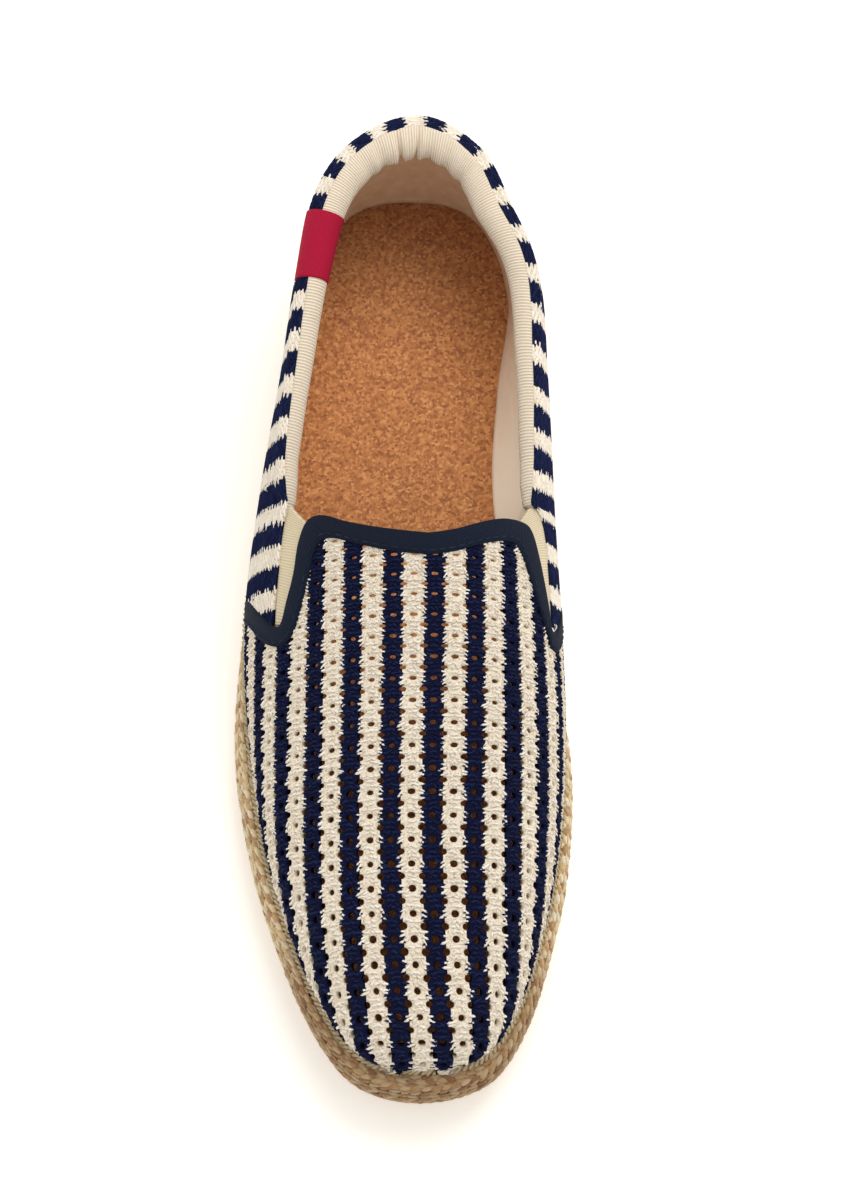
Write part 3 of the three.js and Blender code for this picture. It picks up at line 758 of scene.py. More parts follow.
# Vamp: one openwork knitted panel in cream and navy stripes, unlined, so that light falls
# through its rows of eyelets. The eyelets stand in columns, half a pitch apart from column to
# column, and the knit is stretched more and more over the toe.
column_gap = 3.0
pitch_at_throat = 5.7
pitch_growth = 0.0492
first_row = 0.7
knit_wall = 2.0
toe_steps = 8
slice_step = 1.0
girth_step = 1.0
girth_reach = 100.0
slices_behind_throat = 14.0
slices_past_crest = 21.2
last_slice_past_crest = 21.75
ray_drop = 0.2
stripe_offset = -3.3
stripe_drift = 4.1
drift_from = -58.0
drift_run = 72.0
slice_y = np.append(
    np.arange(throat_y + slices_behind_throat, crest_front_y - slices_past_crest, -slice_step),
    crest_front_y - last_slice_past_crest,
)
girth = np.arange(-girth_reach, girth_reach + girth_step, girth_step)
form_stations = np.linspace(0, turn, 481)
form_climbs = np.linspace(0, 1, 121) ** 1.3


def stripe_line(y):
    """Where the middle cream stripe runs; it drifts inwards over the toe"""
    return stripe_offset + stripe_drift * (np.maximum(0, drift_from - y) / drift_run) ** 2


def section_at(y, tree, right, left):
    """The skin across the shoe at y, from its left seam over the crest to its right seam"""
    middle = (right + left) / 2
    hits = [right]
    for angle in np.radians(np.arange(1, 180)):
        ray = Vector((math.cos(angle), 0.0, math.sin(angle)))
        hit = tree.ray_cast(Vector((middle[0], y, middle[2] - ray_drop)), ray)[0]
        if hit is not None:
            hits.append(np.array(hit))
    return np.array([*hits, left])[::-1]


def toe_rows(form, last_slice):
    """Rows that follow the skin from the last slice down the toe to the seam on the rope"""
    flat_form = form.reshape(-1, 3)
    nearest = [int(((flat_form - point) ** 2).sum(1).argmin()) for point in last_slice]
    station, climb = np.divmod(nearest, len(form_climbs))
    return [
        skin(form_stations[station], form_climbs[climb] * (1 - step / toe_steps), 0.0)
        for step in range(1, toe_steps + 1)
    ]


def knit_slices():
    """The skin across the vamp, slice by slice, at even steps of girth from the middle stripe"""
    form = skin(form_stations[:, None], form_climbs[None, :], 0.0)
    tree = BVHTree.FromPolygons(form.reshape(-1, 3).tolist(), grid_faces(*form.shape[:2]).tolist())
    seams = [skin(station_at(side, slice_y, 0.0), 0.0, 0.0) for side in ("medial", "lateral")]
    table = np.zeros((len(slice_y), len(girth), 3))
    ends = np.zeros((len(slice_y), 2))
    for i, y in enumerate(slice_y):
        line = section_at(y, tree, seams[0][i], seams[1][i])
        run = run_along(line)
        flank = len(line) // 5
        start = np.interp(stripe_line(y), line[flank:-flank, 0], run[flank:-flank])
        table[i] = resample(line, run, girth + start)
        ends[i] = -start, run[-1] - start
    table = np.concatenate([table, toe_rows(form, table[-1])])
    return table, np.concatenate([ends, np.repeat(ends[-1:], toe_steps, 0)])


def pitches(run):
    """Count of pitches at a distance from the first row, each pitch longer than the last"""
    root = np.sqrt(np.maximum(pitch_at_throat**2 + 4 * pitch_growth * run, 0))
    return (root - pitch_at_throat) / (2 * pitch_growth)


knit_table, knit_ends = knit_slices()
middle_column = len(girth) // 2
centre_run = run_along(knit_table[:, middle_column])
centre_run -= np.interp(-first_row, -slice_y, centre_run[:len(slice_y)])
last_row = pitches(centre_run[-1])


def read_table(table, i, j):
    """Value between the entries of a table"""
    i, j = np.clip(i, 0, table.shape[0] - 1.001), np.clip(j, 0, table.shape[1] - 1.001)
    i0, j0 = i.astype(int), j.astype(int)
    fi, fj = (i - i0)[..., None], (j - j0)[..., None]
    near = table[i0, j0] * (1 - fj) + table[i0, j0 + 1] * fj
    far = table[i0 + 1, j0] * (1 - fj) + table[i0 + 1, j0 + 1] * fj
    return near * (1 - fi) + far * fi


def slice_of(v):
    """Row of the table for a row of the knit, counted in pitches from the throat"""
    return np.interp(pitch_at_throat * v + pitch_growth * v**2, centre_run, np.arange(len(centre_run)))


def vamp(u, v):
    """Points of the vamp: u counts columns from the middle stripe, v counts pitches"""
    return read_table(knit_table, slice_of(v), u * column_gap / girth_step + middle_column)


def frame_at(surface, u, v, nudge=0.12):
    """Point, outward direction and both directions along a surface, in millimetres a unit"""
    here = surface(u, v)
    along_u = (surface(u + nudge, v) - surface(u - nudge, v)) / (2 * nudge)
    along_v = (surface(u, v + nudge) - surface(u, v - nudge)) / (2 * nudge)
    normal = np.cross(along_v, along_u)
    size = np.linalg.norm(normal, axis=-1, keepdims=True)
    return here, normal / np.maximum(size, 1e-6), along_u, along_v


def inside(polygon, points):
    """Whether each point is inside a closed line of corners"""
    within = np.zeros(len(points), bool)
    for (x0, y0), (x1, y1) in zip(polygon, np.roll(polygon, -1, axis=0)):
        crosses = (y0 > points[:, 1]) != (y1 > points[:, 1])
        at = x0 + (points[:, 1] - y0) / (y1 - y0 + 1e-12) * (x1 - x0)
        within ^= crosses & (points[:, 0] < at)
    return within


def unrolled(points):
    """Column and pitch counts of points that lie on the vamp"""
    i = np.clip(np.round((slice_y[0] - points[:, 1]) / slice_step).astype(int), 0, len(slice_y) - 1)
    apart = np.linalg.norm(knit_table[i] - points[:, None], axis=-1)
    u = girth[apart.argmin(1)] / column_gap
    run = np.interp(slice_y[0] - points[:, 1], slice_y[0] - slice_y, centre_run[:len(slice_y)])
    return np.stack([u, pitches(run)], -1)


beyond_knit = 40
front_share = 0.55
edge_t = np.linspace(0, 1, 60)
vamp_edge = []
for side, order in (("lateral", 1), ("medial", -1)):
    halves = []
    for table in (tape_rear, tape_front):
        y, climb = edge_line(table, side, edge_t)
        halves.append(unrolled(on_skin(side, y, climb, 0.0)))
    vamp_edge.append(((1 - front_share) * halves[0] + front_share * halves[1])[::order])
vamp_edge = np.concatenate(vamp_edge)
vamp_edge = np.concatenate([
    [(-beyond_knit, vamp_edge[0, 1])],
    vamp_edge,
    [(beyond_knit, vamp_edge[-1, 1]), (beyond_knit, beyond_knit), (-beyond_knit, beyond_knit)],
])
seam_overlap = 1.4
row_overlap = 0.3
eyelet_half_width = 1.15
eyelet_at_throat = 0.42
eyelet_growth = 0.043
eyelet_limits = (0.4, 1.16)
eyelet_spread = (0.88, 1.1)
stripe_period = 4.0
cloth_weld = 0.01
first_column, last_column = -32, 32
first_lattice_row, last_lattice_row = -4.0, 27.0
cell_rim = ((0, 0), (1, 0), (2, 0), (3, 0), (3, 1), (3, 2), (3, 3), (2, 3), (1, 3), (0, 3), (0, 2), (0, 1))


def sewn_in(u, v):
    """Whether a place lies between the vamp's edge and its seam on the rope"""
    left, right = resample(knit_ends, np.arange(len(knit_ends)), slice_of(v)).T
    held = (u * column_gap > left - seam_overlap) & (u * column_gap < right + seam_overlap)
    return held & (v < last_row + row_overlap) & inside(vamp_edge, np.stack([u, v], -1))


def eyelet_size(v):
    """Half width and half height of an eyelet, flat near the throat and round at the toe"""
    half_height = np.clip(eyelet_at_throat + eyelet_growth * v, *eyelet_limits)
    return np.full(v.shape, eyelet_half_width), half_height


def eyelet_points(column, row):
    """Twelve points round each eyelet, and no two eyelets quite the same size"""
    angle = np.arctan2([b - 1.5 for a, b in cell_rim], [a - 1.5 for a, b in cell_rim])
    half_wide, half_high = eyelet_size(row)
    pitch = pitch_at_throat + 2 * pitch_growth * row
    jitter = chance.uniform(*eyelet_spread, (len(row), 1))
    hole_u = column[:, None] + jitter * (half_wide / column_gap)[:, None] * np.cos(angle)
    hole_v = row[:, None] + jitter * (half_high / pitch)[:, None] * np.sin(angle)
    return np.stack([hole_u.ravel(), hole_v.ravel()], -1)


def flat_grid(along, across):
    """Flat coordinates of a grid of points, along it and across it"""
    return np.stack([part.ravel() for part in np.meshgrid(along, across, indexing="ij")], -1)


def used_points(faces):
    """Numbers of the points that faces use, and the faces counted on those points alone"""
    used, counted = np.unique(faces, return_inverse=True)
    return used, counted.reshape(faces.shape)


def knit_panel():
    """The vamp as one sheet on a lattice, every second cell pierced by an eyelet"""
    cells_u = last_column - first_column + 1
    cells_v = int((last_lattice_row - first_lattice_row) * 2) + 1
    lattice_u = first_column - 0.5 + np.arange(cells_u * 3 + 1) / 3
    lattice_v = first_lattice_row - 0.25 + np.arange(cells_v * 3 + 1) / 6
    wide = len(lattice_v)
    i, j = flat_grid(np.arange(cells_u), np.arange(cells_v)).T
    kept = sewn_in((first_column + i).astype(float), first_lattice_row + j / 2)
    i, j = i[kept], j[kept]
    column, row = first_column + i, first_lattice_row + j / 2
    pierced = (column + np.round(row * 2).astype(int)) % 2 == 0
    corner = (3 * i * wide + 3 * j)[:, None]
    square = np.array([0, wide, wide + 1, 1])
    plain = [corner[~pierced] + a * wide + b + square for a in range(3) for b in range(3)]
    outer = corner[pierced] + np.array([a * wide + b for a, b in cell_rim])
    inner = wide * len(lattice_u) + np.arange(outer.size).reshape(outer.shape)
    following = np.roll(np.arange(len(cell_rim)), -1)
    ringed = np.stack([outer, outer[:, following], inner[:, following], inner], -1).reshape(-1, 4)
    uv = np.concatenate([flat_grid(lattice_u, lattice_v), eyelet_points(column[pierced], row[pierced])])
    used, faces = used_points(np.concatenate([*plain, ringed]))
    return vamp(*uv[used].T), faces, uv[used]


def thicken(sheet, thickness):
    """Gives a sheet of cloth its thickness, inwards from its face"""
    wall = sheet.modifiers.new("wall", "SOLIDIFY")
    wall.thickness = thickness * millimetre
    wall.offset = -1.0


def knit_finish(name, cream_line, period, cream_reach, *fuzz_and_gap_shade):
    """Matt cream knit, navy beyond cream_reach of the cream lines that come once a period"""
    knit = Finish(name, Roughness=0.95, Specular_IOR_Level=0.1)
    across = knit.axis(knit.flat(1.0, 1.0), "X")
    is_navy = abs((across + (period / 2 - cream_line)) % period - period / 2) > cream_reach
    fuzz = knit.noise(knit.solid(), 1.6, 3.0, 0.7)
    colors = knit.mix(is_navy, dye("f8eedd"), dye("111636"))
    # The fuzz ramp mottles the knit's own colour, and its darkest spots are painted shade in the gaps
    # between stitches.
    knit.set("Base Color", knit.mix(1.0, colors, knit.ramp(fuzz, *fuzz_and_gap_shade), "MULTIPLY"))
    knit.relief(fuzz, 0.6)
    return knit


panel = make_piece("vamp_knit", *knit_panel())
weld(panel, cloth_weld)
thicken(panel, knit_wall)
stripe_fuzz_and_gap_shade = (0.32, dye("a79b89")), (0.43, dye("ece4d8")), (0.6, dye("ffffff"))
stripes = knit_finish("striped_knit", 0.0, stripe_period, stripe_period / 4, *stripe_fuzz_and_gap_shade)
fit(panel, stripes, "knit", "upper")


# Stitches of the vamp: short loops of soft yarn that lie outwards from the middle of each
# stripe, five rows to a pitch. The long tips of the cream yarn reach over the navy beside it,
# and no loop crosses an eyelet.
stitch_rows = (0.10, 0.30, 0.50, 0.70, 0.90)
stitch_form = bead(5, 2, 1.7)
stitch_height = 0.4
stitch_lift = 0.1
loop_margin = 0.4
loop_tilt = 0.34
long_tip_tilt = 0.2
long_tip_growth = 1.35
tip_share = 2.6
yarn_width = 0.85
length_spread = (0.85, 1.2)
width_spread = (0.8, 1.15)
size_at_throat = 0.88
size_growth = 0.012
column_slip = 0.05
row_slip = 0.025
tilt_slip = 0.3


def yarn_finish(name, color, shade):
    """Soft matt yarn, each stitch of its own tone between two colours"""
    yarn = Finish(name, Roughness=0.95, Specular_IOR_Level=0.1)
    twist = yarn.noise(yarn.flat(1.4, 7.0), 1.0, 2.0, 0.6)
    yarn.set("Base Color", yarn.mix(0.55 * yarn.tone() + 0.45 * twist, dye(shade), dye(color)))
    yarn.relief(twist, 0.35)
    return yarn


cream_yarn = yarn_finish("cream_yarn", "fef8ee", "e6d9c5")
navy_yarn = yarn_finish("navy_yarn", "222b54", "0d112b")


def lay_yarn(surface, u, v, slant, length, width, height):
    """Stitches on a surface at u and v, turned by slant from the u direction"""
    here, normal, along_u, along_v = frame_at(surface, u, v)
    side, down = unit(along_u), unit(along_v)
    along = unit(np.cos(slant)[:, None] * side + np.sin(slant)[:, None] * down)
    directions = along, np.cross(normal, along), normal
    half_sizes = length / 2, width / 2, height
    laid = strands(stitch_form, here + stitch_lift * normal, directions, half_sizes)
    return *laid, np.repeat(chance.uniform(0, 1, len(u)), len(stitch_form[0]))


def yarn_piece(name, laid, finish):
    """One piece of all the stitches that are laid with one finish"""
    points, faces = gather([part[:2] for part in laid])
    flat, tone = (np.concatenate([part[k] for part in laid]) for k in (2, 3))
    piece = make_piece(name, points, faces, flat, tone)
    piece.data.materials.append(finish.material)
    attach(piece, "root")


def over_eyelet(u, v):
    """Whether a place is on an eyelet or close beside it"""
    column = np.round(u)
    row = v - 0.5 * (column % 2)
    half_wide, half_high = eyelet_size(v)
    beside = (u - column) * column_gap / (half_wide + loop_margin)
    above = (row - np.round(row)) * (pitch_at_throat + 2 * pitch_growth * v) / (half_high + loop_margin)
    return beside**2 + above**2 < 1


def stitch_row(first_stripe, side, phase, centre, length):
    """Stitches at one place of each pitch and each stripe, all leaning away from its middle"""
    stripe_middles = np.arange(first_column + first_stripe, last_column + 2, stripe_period)
    rows_down = np.arange(first_lattice_row, last_lattice_row)
    places = flat_grid(stripe_middles + side * centre, rows_down + phase)
    u = places[:, 0] + chance.normal(0, column_slip, len(places))
    v = places[:, 1] + chance.normal(0, row_slip, len(places))
    long_tip = phase < 0.2 and centre > 0.7 and side < 0
    tilt = side * (loop_tilt + long_tip * long_tip_tilt) + chance.normal(0, tilt_slip, len(places))
    tip_u = np.cos(tilt) * length / tip_share / column_gap
    tip_v = side * np.sin(tilt) * length / tip_share / pitch_at_throat
    kept = sewn_in(u, v)
    for end in (-1, 0, 1):
        kept &= ~over_eyelet(u + end * tip_u, v + end * tip_v)
    u, v, tilt = u[kept], v[kept], tilt[kept]
    grow = (long_tip_growth if long_tip else 1.0) * (size_at_throat + size_growth * v)
    slant = tilt if side > 0 else np.pi + tilt
    lengths = length * grow * chance.uniform(*length_spread, len(u))
    widths = yarn_width * grow * chance.uniform(*width_spread, len(u))
    return lay_yarn(vamp, u, v, slant, lengths, widths, stitch_height)


def vamp_stitches(first_stripe, reach):
    """Stitches of one colour: stripes every fourth column, both sides of their middle"""
    return [
        stitch_row(first_stripe, side, phase, centre, length)
        for side in (-1, 1)
        for phase in stitch_rows
        for centre, length in ((0.18, 1.7), (0.5, 1.9), (0.84 + reach, 2.1))
    ]


yarn_piece("vamp_cream_stitches", vamp_stitches(0, 0.16), cream_yarn)
yarn_piece("vamp_navy_stitches", vamp_stitches(2, -0.02), navy_yarn)


# Quarter: one dense knitted strip that runs from gore to gore round the heel. Its stripes stand
# upright as navy blocks on cream, and its upper edge is turned inwards over the padded collar.
collar_width = 12.6
collar_height = 10.5
collar_t = (-0.03, 0.0, 0.05, 0.15, 0.30, 0.42, 0.50, 0.58, 0.70, 0.85, 0.95, 1.0, 1.03)
collar_wide = (0.13, 0.40, 0.52, 0.64, 0.84, 0.96, 1.0, 0.96, 0.84, 0.64, 0.52, 0.40, 0.13)
collar_high = (0.14, 0.44, 0.58, 0.68, 0.84, 0.95, 1.0, 0.95, 0.84, 0.68, 0.58, 0.44, 0.14)
collar_inward = (0.05, 0.13, 0.15, 0.20, 0.29, 0.30, 0.27, 0.38, 0.36, 0.26, 0.20, 0.16, 0.05)
knit_edge_angle = 80
quarter_wall = 1.2
gore_clearance = {"lateral": 0.04, "medial": 0.02}
clearance_run = 0.1
corner_rise = 0.45
block_places = (-217.0, -168.4, -78.0, -42.5, 4.3, 104.0, 204.0)
block_counts = (-4, 0, 7, 10, 14, 22, 30)
block_share = 0.54
wale_gap = 0.82
stitch_gap = 2.5
hem_overlap = 2.2
hem_depth = 1.2
profile_reach = 67.0
under_tape = 0.12
hem_climb = 0.004
ragged_edge = 0.25
wale_lean = 0.2
lean_slip = 0.16
along_slip = 0.12
across_slip = 0.08
block_stitch_length = 3.2
block_stitch_height = 0.5

collar_start = float(station_at("lateral", throat_y + 0.72 * gore_depth, 0.46))
collar_end = float(station_at("medial", throat_y + 0.82 * gore_depth, 0.38)) - turn
gore_t = np.linspace(0, 0.86, 40)
top_lines = {}
for side, back_turn in (("lateral", 0), ("medial", turn)):
    y, climb = edge_line(gore_rear, side, gore_t)
    top_lines[side] = station_at(side, y, climb) - back_turn, climb
first_station = top_lines["lateral"][0].max() + under_tape
last_station = top_lines["medial"][0].min() - under_tape
quarter_stations = np.linspace(first_station, last_station, 520)


def top_climb(station):
    """Climb of the quarter's upper edge: the topline, or the gore's edge ahead of the collar"""
    climb = climb_at_top(station)
    ahead, behind = station > collar_start, station < collar_end
    ends = {"lateral": collar_start, "medial": collar_end}
    for where, side in ((ahead, "lateral"), (behind, "medial")):
        at, value = top_lines[side]
        order = np.argsort(at)
        distance = np.abs(station[where] - ends[side])
        edge = np.interp(station[where], at[order], value[order])
        edge = np.minimum(edge, climb_at_top(np.array([ends[side]])) + corner_rise * distance)
        climb[where] = edge - gore_clearance[side] * np.clip(distance / clearance_run, 0, 1)
    return climb


def roll(station, angle, grow=0.0):
    """Points of the collar's padded roll; angle 0 points outwards and 90 degrees straight up"""
    t = (station - collar_start) / (collar_end - collar_start)
    rim = skin(station, top_climb(station), 0.0)
    _, _, nx, ny = outline(station, 0.0)
    outward = np.stack([nx, ny, 0 * nx], -1)
    centre = rim - outward * collar_width * np.interp(t, collar_t, collar_inward)[:, None]
    half_wide = collar_width / 2 * np.interp(t, collar_t, collar_wide) + grow
    half_high = collar_height / 2 * np.interp(t, collar_t, collar_high) + grow
    angle = np.radians(angle)
    across = half_wide[:, None] * np.cos(angle)
    rise = half_high[:, None] * np.sin(angle)
    points = centre[:, None] + outward[:, None] * across[..., None]
    points[..., 2] += rise
    return points


def smoothed(grid, times):
    """A grid of points with the kinks across it eased; its two edges stay as they are"""
    for _ in range(times):
        grid[:, 1:-1] = (grid[:, :-2] + 2 * grid[:, 1:-1] + grid[:, 2:]) / 4
    return grid


def quarter_profiles(stations):
    """Lines down the quarter at even millimetres, from the top of the roll to the rope"""
    angles = np.broadcast_to(np.linspace(knit_edge_angle, -22, 14), (len(stations), 14))
    top = top_climb(stations)
    shares = np.array([0.86, 0.78, 0.68, 0.57, 0.46, 0.36, 0.27, 0.19, 0.12, 0.06, 0.02, 0.0])
    climbs = top[:, None] * shares
    wall = skin(stations[:, None] + 0 * climbs, climbs, 0.0)
    lines = np.concatenate([roll(stations, angles), wall, wall[:, -1:] - (0, 0, hem_depth)], 1)
    climbs = np.concatenate([np.repeat(top[:, None], 14, 1), climbs, 0 * top[:, None]], 1)
    steps = np.arange(0, profile_reach, 1.0)
    table = [
        resample(np.column_stack([line, climb]), run_along(line), steps)
        for line, climb in zip(lines, climbs)
    ]
    return smoothed(np.array(table), 3)


quarter_table = quarter_profiles(quarter_stations)
collar_run = run_along(quarter_table[:, 3, :3])
heel_index = int(np.argmin(abs(quarter_stations)))
collar_run -= collar_run[heel_index]
seam_t = np.linspace(0, 0.28, 30)
front_lines = {}
for side in ("lateral", "medial"):
    rear_y, rear_climb = edge_line(tape_rear, side, seam_t)
    front_y, front_climb = edge_line(tape_front, side, seam_t)
    front_lines[side] = (rear_climb + front_climb) / 2, (rear_y + front_y) / 2


def quarter(u, v):
    """Points of the quarter: u is along the collar from the heel, v down from the roll's top"""
    i = np.interp(u, collar_run, np.arange(len(collar_run)))
    return read_table(quarter_table, i, v)[..., :3]


def on_quarter(u, v):
    """Whether a place on the quarter lies behind the tape and above the rope"""
    i = np.interp(u, collar_run, np.arange(len(collar_run)))
    place = read_table(quarter_table, i, v)
    station = np.interp(u, collar_run, quarter_stations)
    kept = place[..., 3] > hem_climb
    for side, chosen in (("lateral", station > 0), ("medial", station <= 0)):
        limit = np.interp(place[..., 3], *front_lines[side])
        kept &= ~chosen | (place[..., 1] > limit)
    return kept


def block_count(u):
    """Count of blocks up to a place; the knit is stretched unevenly round the foot"""
    return np.interp(u, block_places, block_counts)


def block_at(u):
    """Whether a place is in a navy block of the quarter"""
    return np.abs(block_count(u) % 1.0 - 0.5) > 0.5 * (1 - block_share)


cover_u = np.arange(collar_run[0], collar_run[-1], 1.3)
cover_v = np.concatenate([np.arange(0, 12, 1.0), np.arange(12, profile_reach - 1, 2.0)])
cover_flat = flat_grid(cover_u, cover_v)
cover_points = quarter(*cover_flat.T)
cover_faces = grid_faces(len(cover_u), len(cover_v))
middle = cover_flat[cover_faces].mean(1)
cover_flat[:, 0] = block_count(cover_flat[:, 0])
used, cover_faces = used_points(cover_faces[on_quarter(middle[:, 0], middle[:, 1] - hem_overlap)])
cover = make_piece("quarter_knit", cover_points[used], cover_faces, cover_flat[used])
weld(cover, cloth_weld)
thicken(cover, quarter_wall)
# Fuzz mottle of the knit, with painted shade in the gaps between stitches at its darkest stop.
block_fuzz_and_gap_shade = (0.3, dye("b3a795")), (0.45, dye("ece4d8")), (0.6, dye("ffffff"))
blocks = knit_finish("block_knit", 0.5, 1.0, 0.5 * (1 - block_share), *block_fuzz_and_gap_shade)
fit(cover, blocks, "knit", "upper")


def quarter_stitches(navy_blocks):
    """Stitches along the wales of the quarter, each wale half a stitch on from the last"""
    laid = []
    for wale, v in enumerate(np.arange(0.5, profile_reach - 3, wale_gap)):
        u = np.arange(collar_run[0], collar_run[-1], stitch_gap) + stitch_gap / 2 * (wale % 2)
        v = np.full(len(u), v)
        kept = on_quarter(u, v) & (block_at(u + chance.normal(0, ragged_edge, len(u))) == navy_blocks)
        count = kept.sum()
        u = u[kept] + chance.normal(0, along_slip, count)
        v = v[kept] + chance.normal(0, across_slip, count)
        if count == 0:
            continue
        slant = wale_lean * (-1) ** wale + chance.normal(0, lean_slip, count)
        lengths = block_stitch_length * chance.uniform(*length_spread, count)
        widths = yarn_width * chance.uniform(*width_spread, count)
        laid.append(lay_yarn(quarter, u, v, slant, lengths, widths, block_stitch_height))
    return laid


yarn_piece("quarter_cream_stitches", quarter_stitches(False), cream_yarn)
yarn_piece("quarter_navy_stitches", quarter_stitches(True), navy_yarn)


# Lining: soft beige cloth glued inside the quarter, from under the collar's roll down to the
# cork. It hides the raw inside of the knit. Its colour is browner round the heel as painted shade, and its
# front parts are paler and glow faintly as painted light.
lining_top_angle = 238
lining_bow = 1.4
lining_thickness = 0.6
insole_thickness = 3.0
lining_sink = 0.7
lining_samples = 300
lining_threads = 0.8
lit_front_from = 60.0
lit_front_run = 60.0
lap_stations = (-6.5, -4.6, -3.0, 0, 3.0, 6.5)
laps = (4.8, 3.4, 1.2, 2.2, 0.6, 1.2)
lining_stations = np.linspace(first_station, last_station, lining_samples)
lining_shares = np.linspace(0, 1, 16)
lining_top = roll(lining_stations, np.full((lining_samples, 1), lining_top_angle), -lining_thickness)
lining_lap = np.interp(lining_stations, lap_stations, laps)
lining_inset = around(lip_ring, lining_stations) + upper_wall + seam + lining_lap
x, y, nx, ny = outline(lining_stations, lining_inset)
lining_foot = np.stack([x, y, sole_top(y) + seam + insole_thickness - lining_sink], -1)[:, None]
lining_out = np.stack([nx, ny, 0 * nx], -1)[:, None]
share = lining_shares[None, :, None]
lining_points = lining_top * (1 - share) + lining_foot * share
lining_points += lining_out * lining_bow * np.sin(np.pi * share)


def collar_distance(stations):
    """Distance along the collar from the middle of the heel"""
    return np.interp(stations, quarter_stations[::-1], collar_run[::-1])


def woven(name, grid, flat, closed=False):
    """A piece of cloth from a grid of points; a closed one is a tube"""
    piece = make_piece(name, grid.reshape(-1, 3), grid_faces(*grid.shape[:2], closed), flat)
    weld(piece, cloth_weld)
    return piece


lining_flat = flat_grid(collar_distance(lining_stations), lining_shares * 40)
lining = woven("quarter_lining", lining_points, lining_flat)
thicken(lining, lining_thickness)
cotton = Finish("lining_cotton", Roughness=0.9, Sheen_Weight=0.2)
warp, weft = cotton.ripples(lining_threads, lining_threads)
weave = warp * weft
mottle = cotton.noise(cotton.solid(), 0.25, 3.0)
# Painted shade and light: the cloth is browner towards the heel as painted shade and paler towards the
# front.
ahead = (abs(cotton.axis(cotton.flat(1.0, 1.0), "X")) - lit_front_from) / lit_front_run
shaded_heel_cloth = cotton.ramp(mottle + 0.06 * weave, (0.3, dye("d4aa7e")), (0.7, dye("e2be96")))
cotton.set("Base Color", cotton.mix(ahead, shaded_heel_cloth, dye("fbf0dc")))
# Painted glow: the front parts give off a faint light of their own, though they are no lamp.
cotton.set("Emission Color", cotton.mix(ahead, dye("000000"), dye("fbecd4")))
cotton.set("Emission Strength", 0.2)
cotton.relief(0.5 * weave + 0.5 * mottle, 0.2)
fit(lining, cotton, "cream_band")


# Collar: a soft foam roll under a cream ribbed band, sewn to the knit along the top of the
# roll. Two sharp pleats and some softer ones are pinched into the band round the heel.
band_sides = 40
band_tuck = 1.4
band_edge = 78
rib_gap = 0.92
# Each pleat: its place from the heel's middle, its lean, its depth and its width
pleats = (
    (-7.2, 0.10, 1.9, 0.9),
    (-1.2, -0.30, 1.7, 0.8),
    (-14.5, 0.20, 0.9, 2.2),
    (4.2, -0.15, 0.9, 2.0),
    (11.0, -0.20, 0.5, 2.4),
    (-21.0, 0.20, 0.5, 2.6),
    (21.0, -0.20, 0.45, 2.2),
)
pleat_pivot = 170
pleat_span = 170
pleat_fade = 0.7
swell_share = 0.28
swell_apart = 2.1
tuck_middle = 8
tuck_run = 9
band_lift = 0.3
band_overrun = 0.25
band_nose = 0.4
band_stations = np.linspace(collar_start + band_overrun, collar_end - band_overrun, 580)
band_angles = np.linspace(0, 360, band_sides, endpoint=False)
from_tuck = np.abs((band_angles - tuck_middle + 180) % 360 - 180)
covered = np.clip((band_edge - tuck_middle - from_tuck) / tuck_run, 0, 1)[None, :, None]
band_run = collar_distance(band_stations)
angles = np.broadcast_to(band_angles, (len(band_stations), band_sides))
full = roll(band_stations, angles, band_lift)
slim = roll(band_stations, angles, -band_tuck)
facing = np.clip(np.sin(np.clip((band_angles - band_edge) / pleat_span, 0, 1) * np.pi), 0, 1)
sunk = np.zeros(angles.shape)
for place, lean, depth, width in pleats:
    off = band_run[:, None] - place - lean * (band_angles - pleat_pivot) / 20
    sunk += depth * np.exp(-((off / width) ** 2)) * facing**pleat_fade
    swell = np.exp(-(((np.abs(off) - swell_apart * width) / width) ** 2))
    sunk -= swell_share * depth * swell * facing
middle = full.mean(1, keepdims=True)
inwards = unit(middle - full)
band_points = full * (1 - covered) + slim * covered + inwards * sunk[..., None]
from_end = np.minimum(band_stations[0] - band_stations, band_stations - band_stations[-1])
nose = np.sqrt(np.clip(from_end / band_nose, 0, 1))[:, None, None]
band_points = middle + (band_points - middle) * nose
band = woven("collar_band", band_points, flat_grid(band_run, band_angles / 6), closed=True)
ribbed = Finish("ribbed_band", Roughness=0.9, Sheen_Weight=0.25)
rib, cross = ribbed.ripples(rib_gap, 0.5)
wear = ribbed.noise(ribbed.solid(), 0.3, 3.0)
height = 0.5 + 0.35 * rib + 0.1 * cross + 0.2 * wear
rib_stops = (0.1, dye("dcc2a0")), (0.55, dye("f3e2c8")), (0.95, dye("fbf0de"))
ribbed.set("Base Color", ribbed.ramp(height, *rib_stops))
ribbed.relief(height, 0.4)
fit(band, ribbed, "cream_band", "collar")


# Gores: a wedge of ribbed khaki elastic on each side lets the mouth stretch over the foot. It
# is sewn in a little behind the face of the knit, between the quarter and the vamp's tape.
gore_recess = 0.5
gore_thickness = 1.4
gore_foot = 2.2
gore_tuck = {"lateral": 0.5, "medial": 0.35}
gore_length = 34
gore_width = 6
gore_start = 0.04
gore_lap = 0.08
elastic_rib = 0.55
elastic = Finish("ribbed_elastic", Roughness=0.82, Sheen_Weight=0.15)
elastic_wale, elastic_cross = elastic.ripples(elastic_rib, 0.45)
elastic_height = 0.5 + 0.4 * elastic_wale + 0.1 * elastic_cross
elastic.set("Base Color", elastic.ramp(elastic_height, (0.1, dye("c8b998")), (0.8, dye("dccdad"))))
elastic.relief(elastic_height, 0.16)


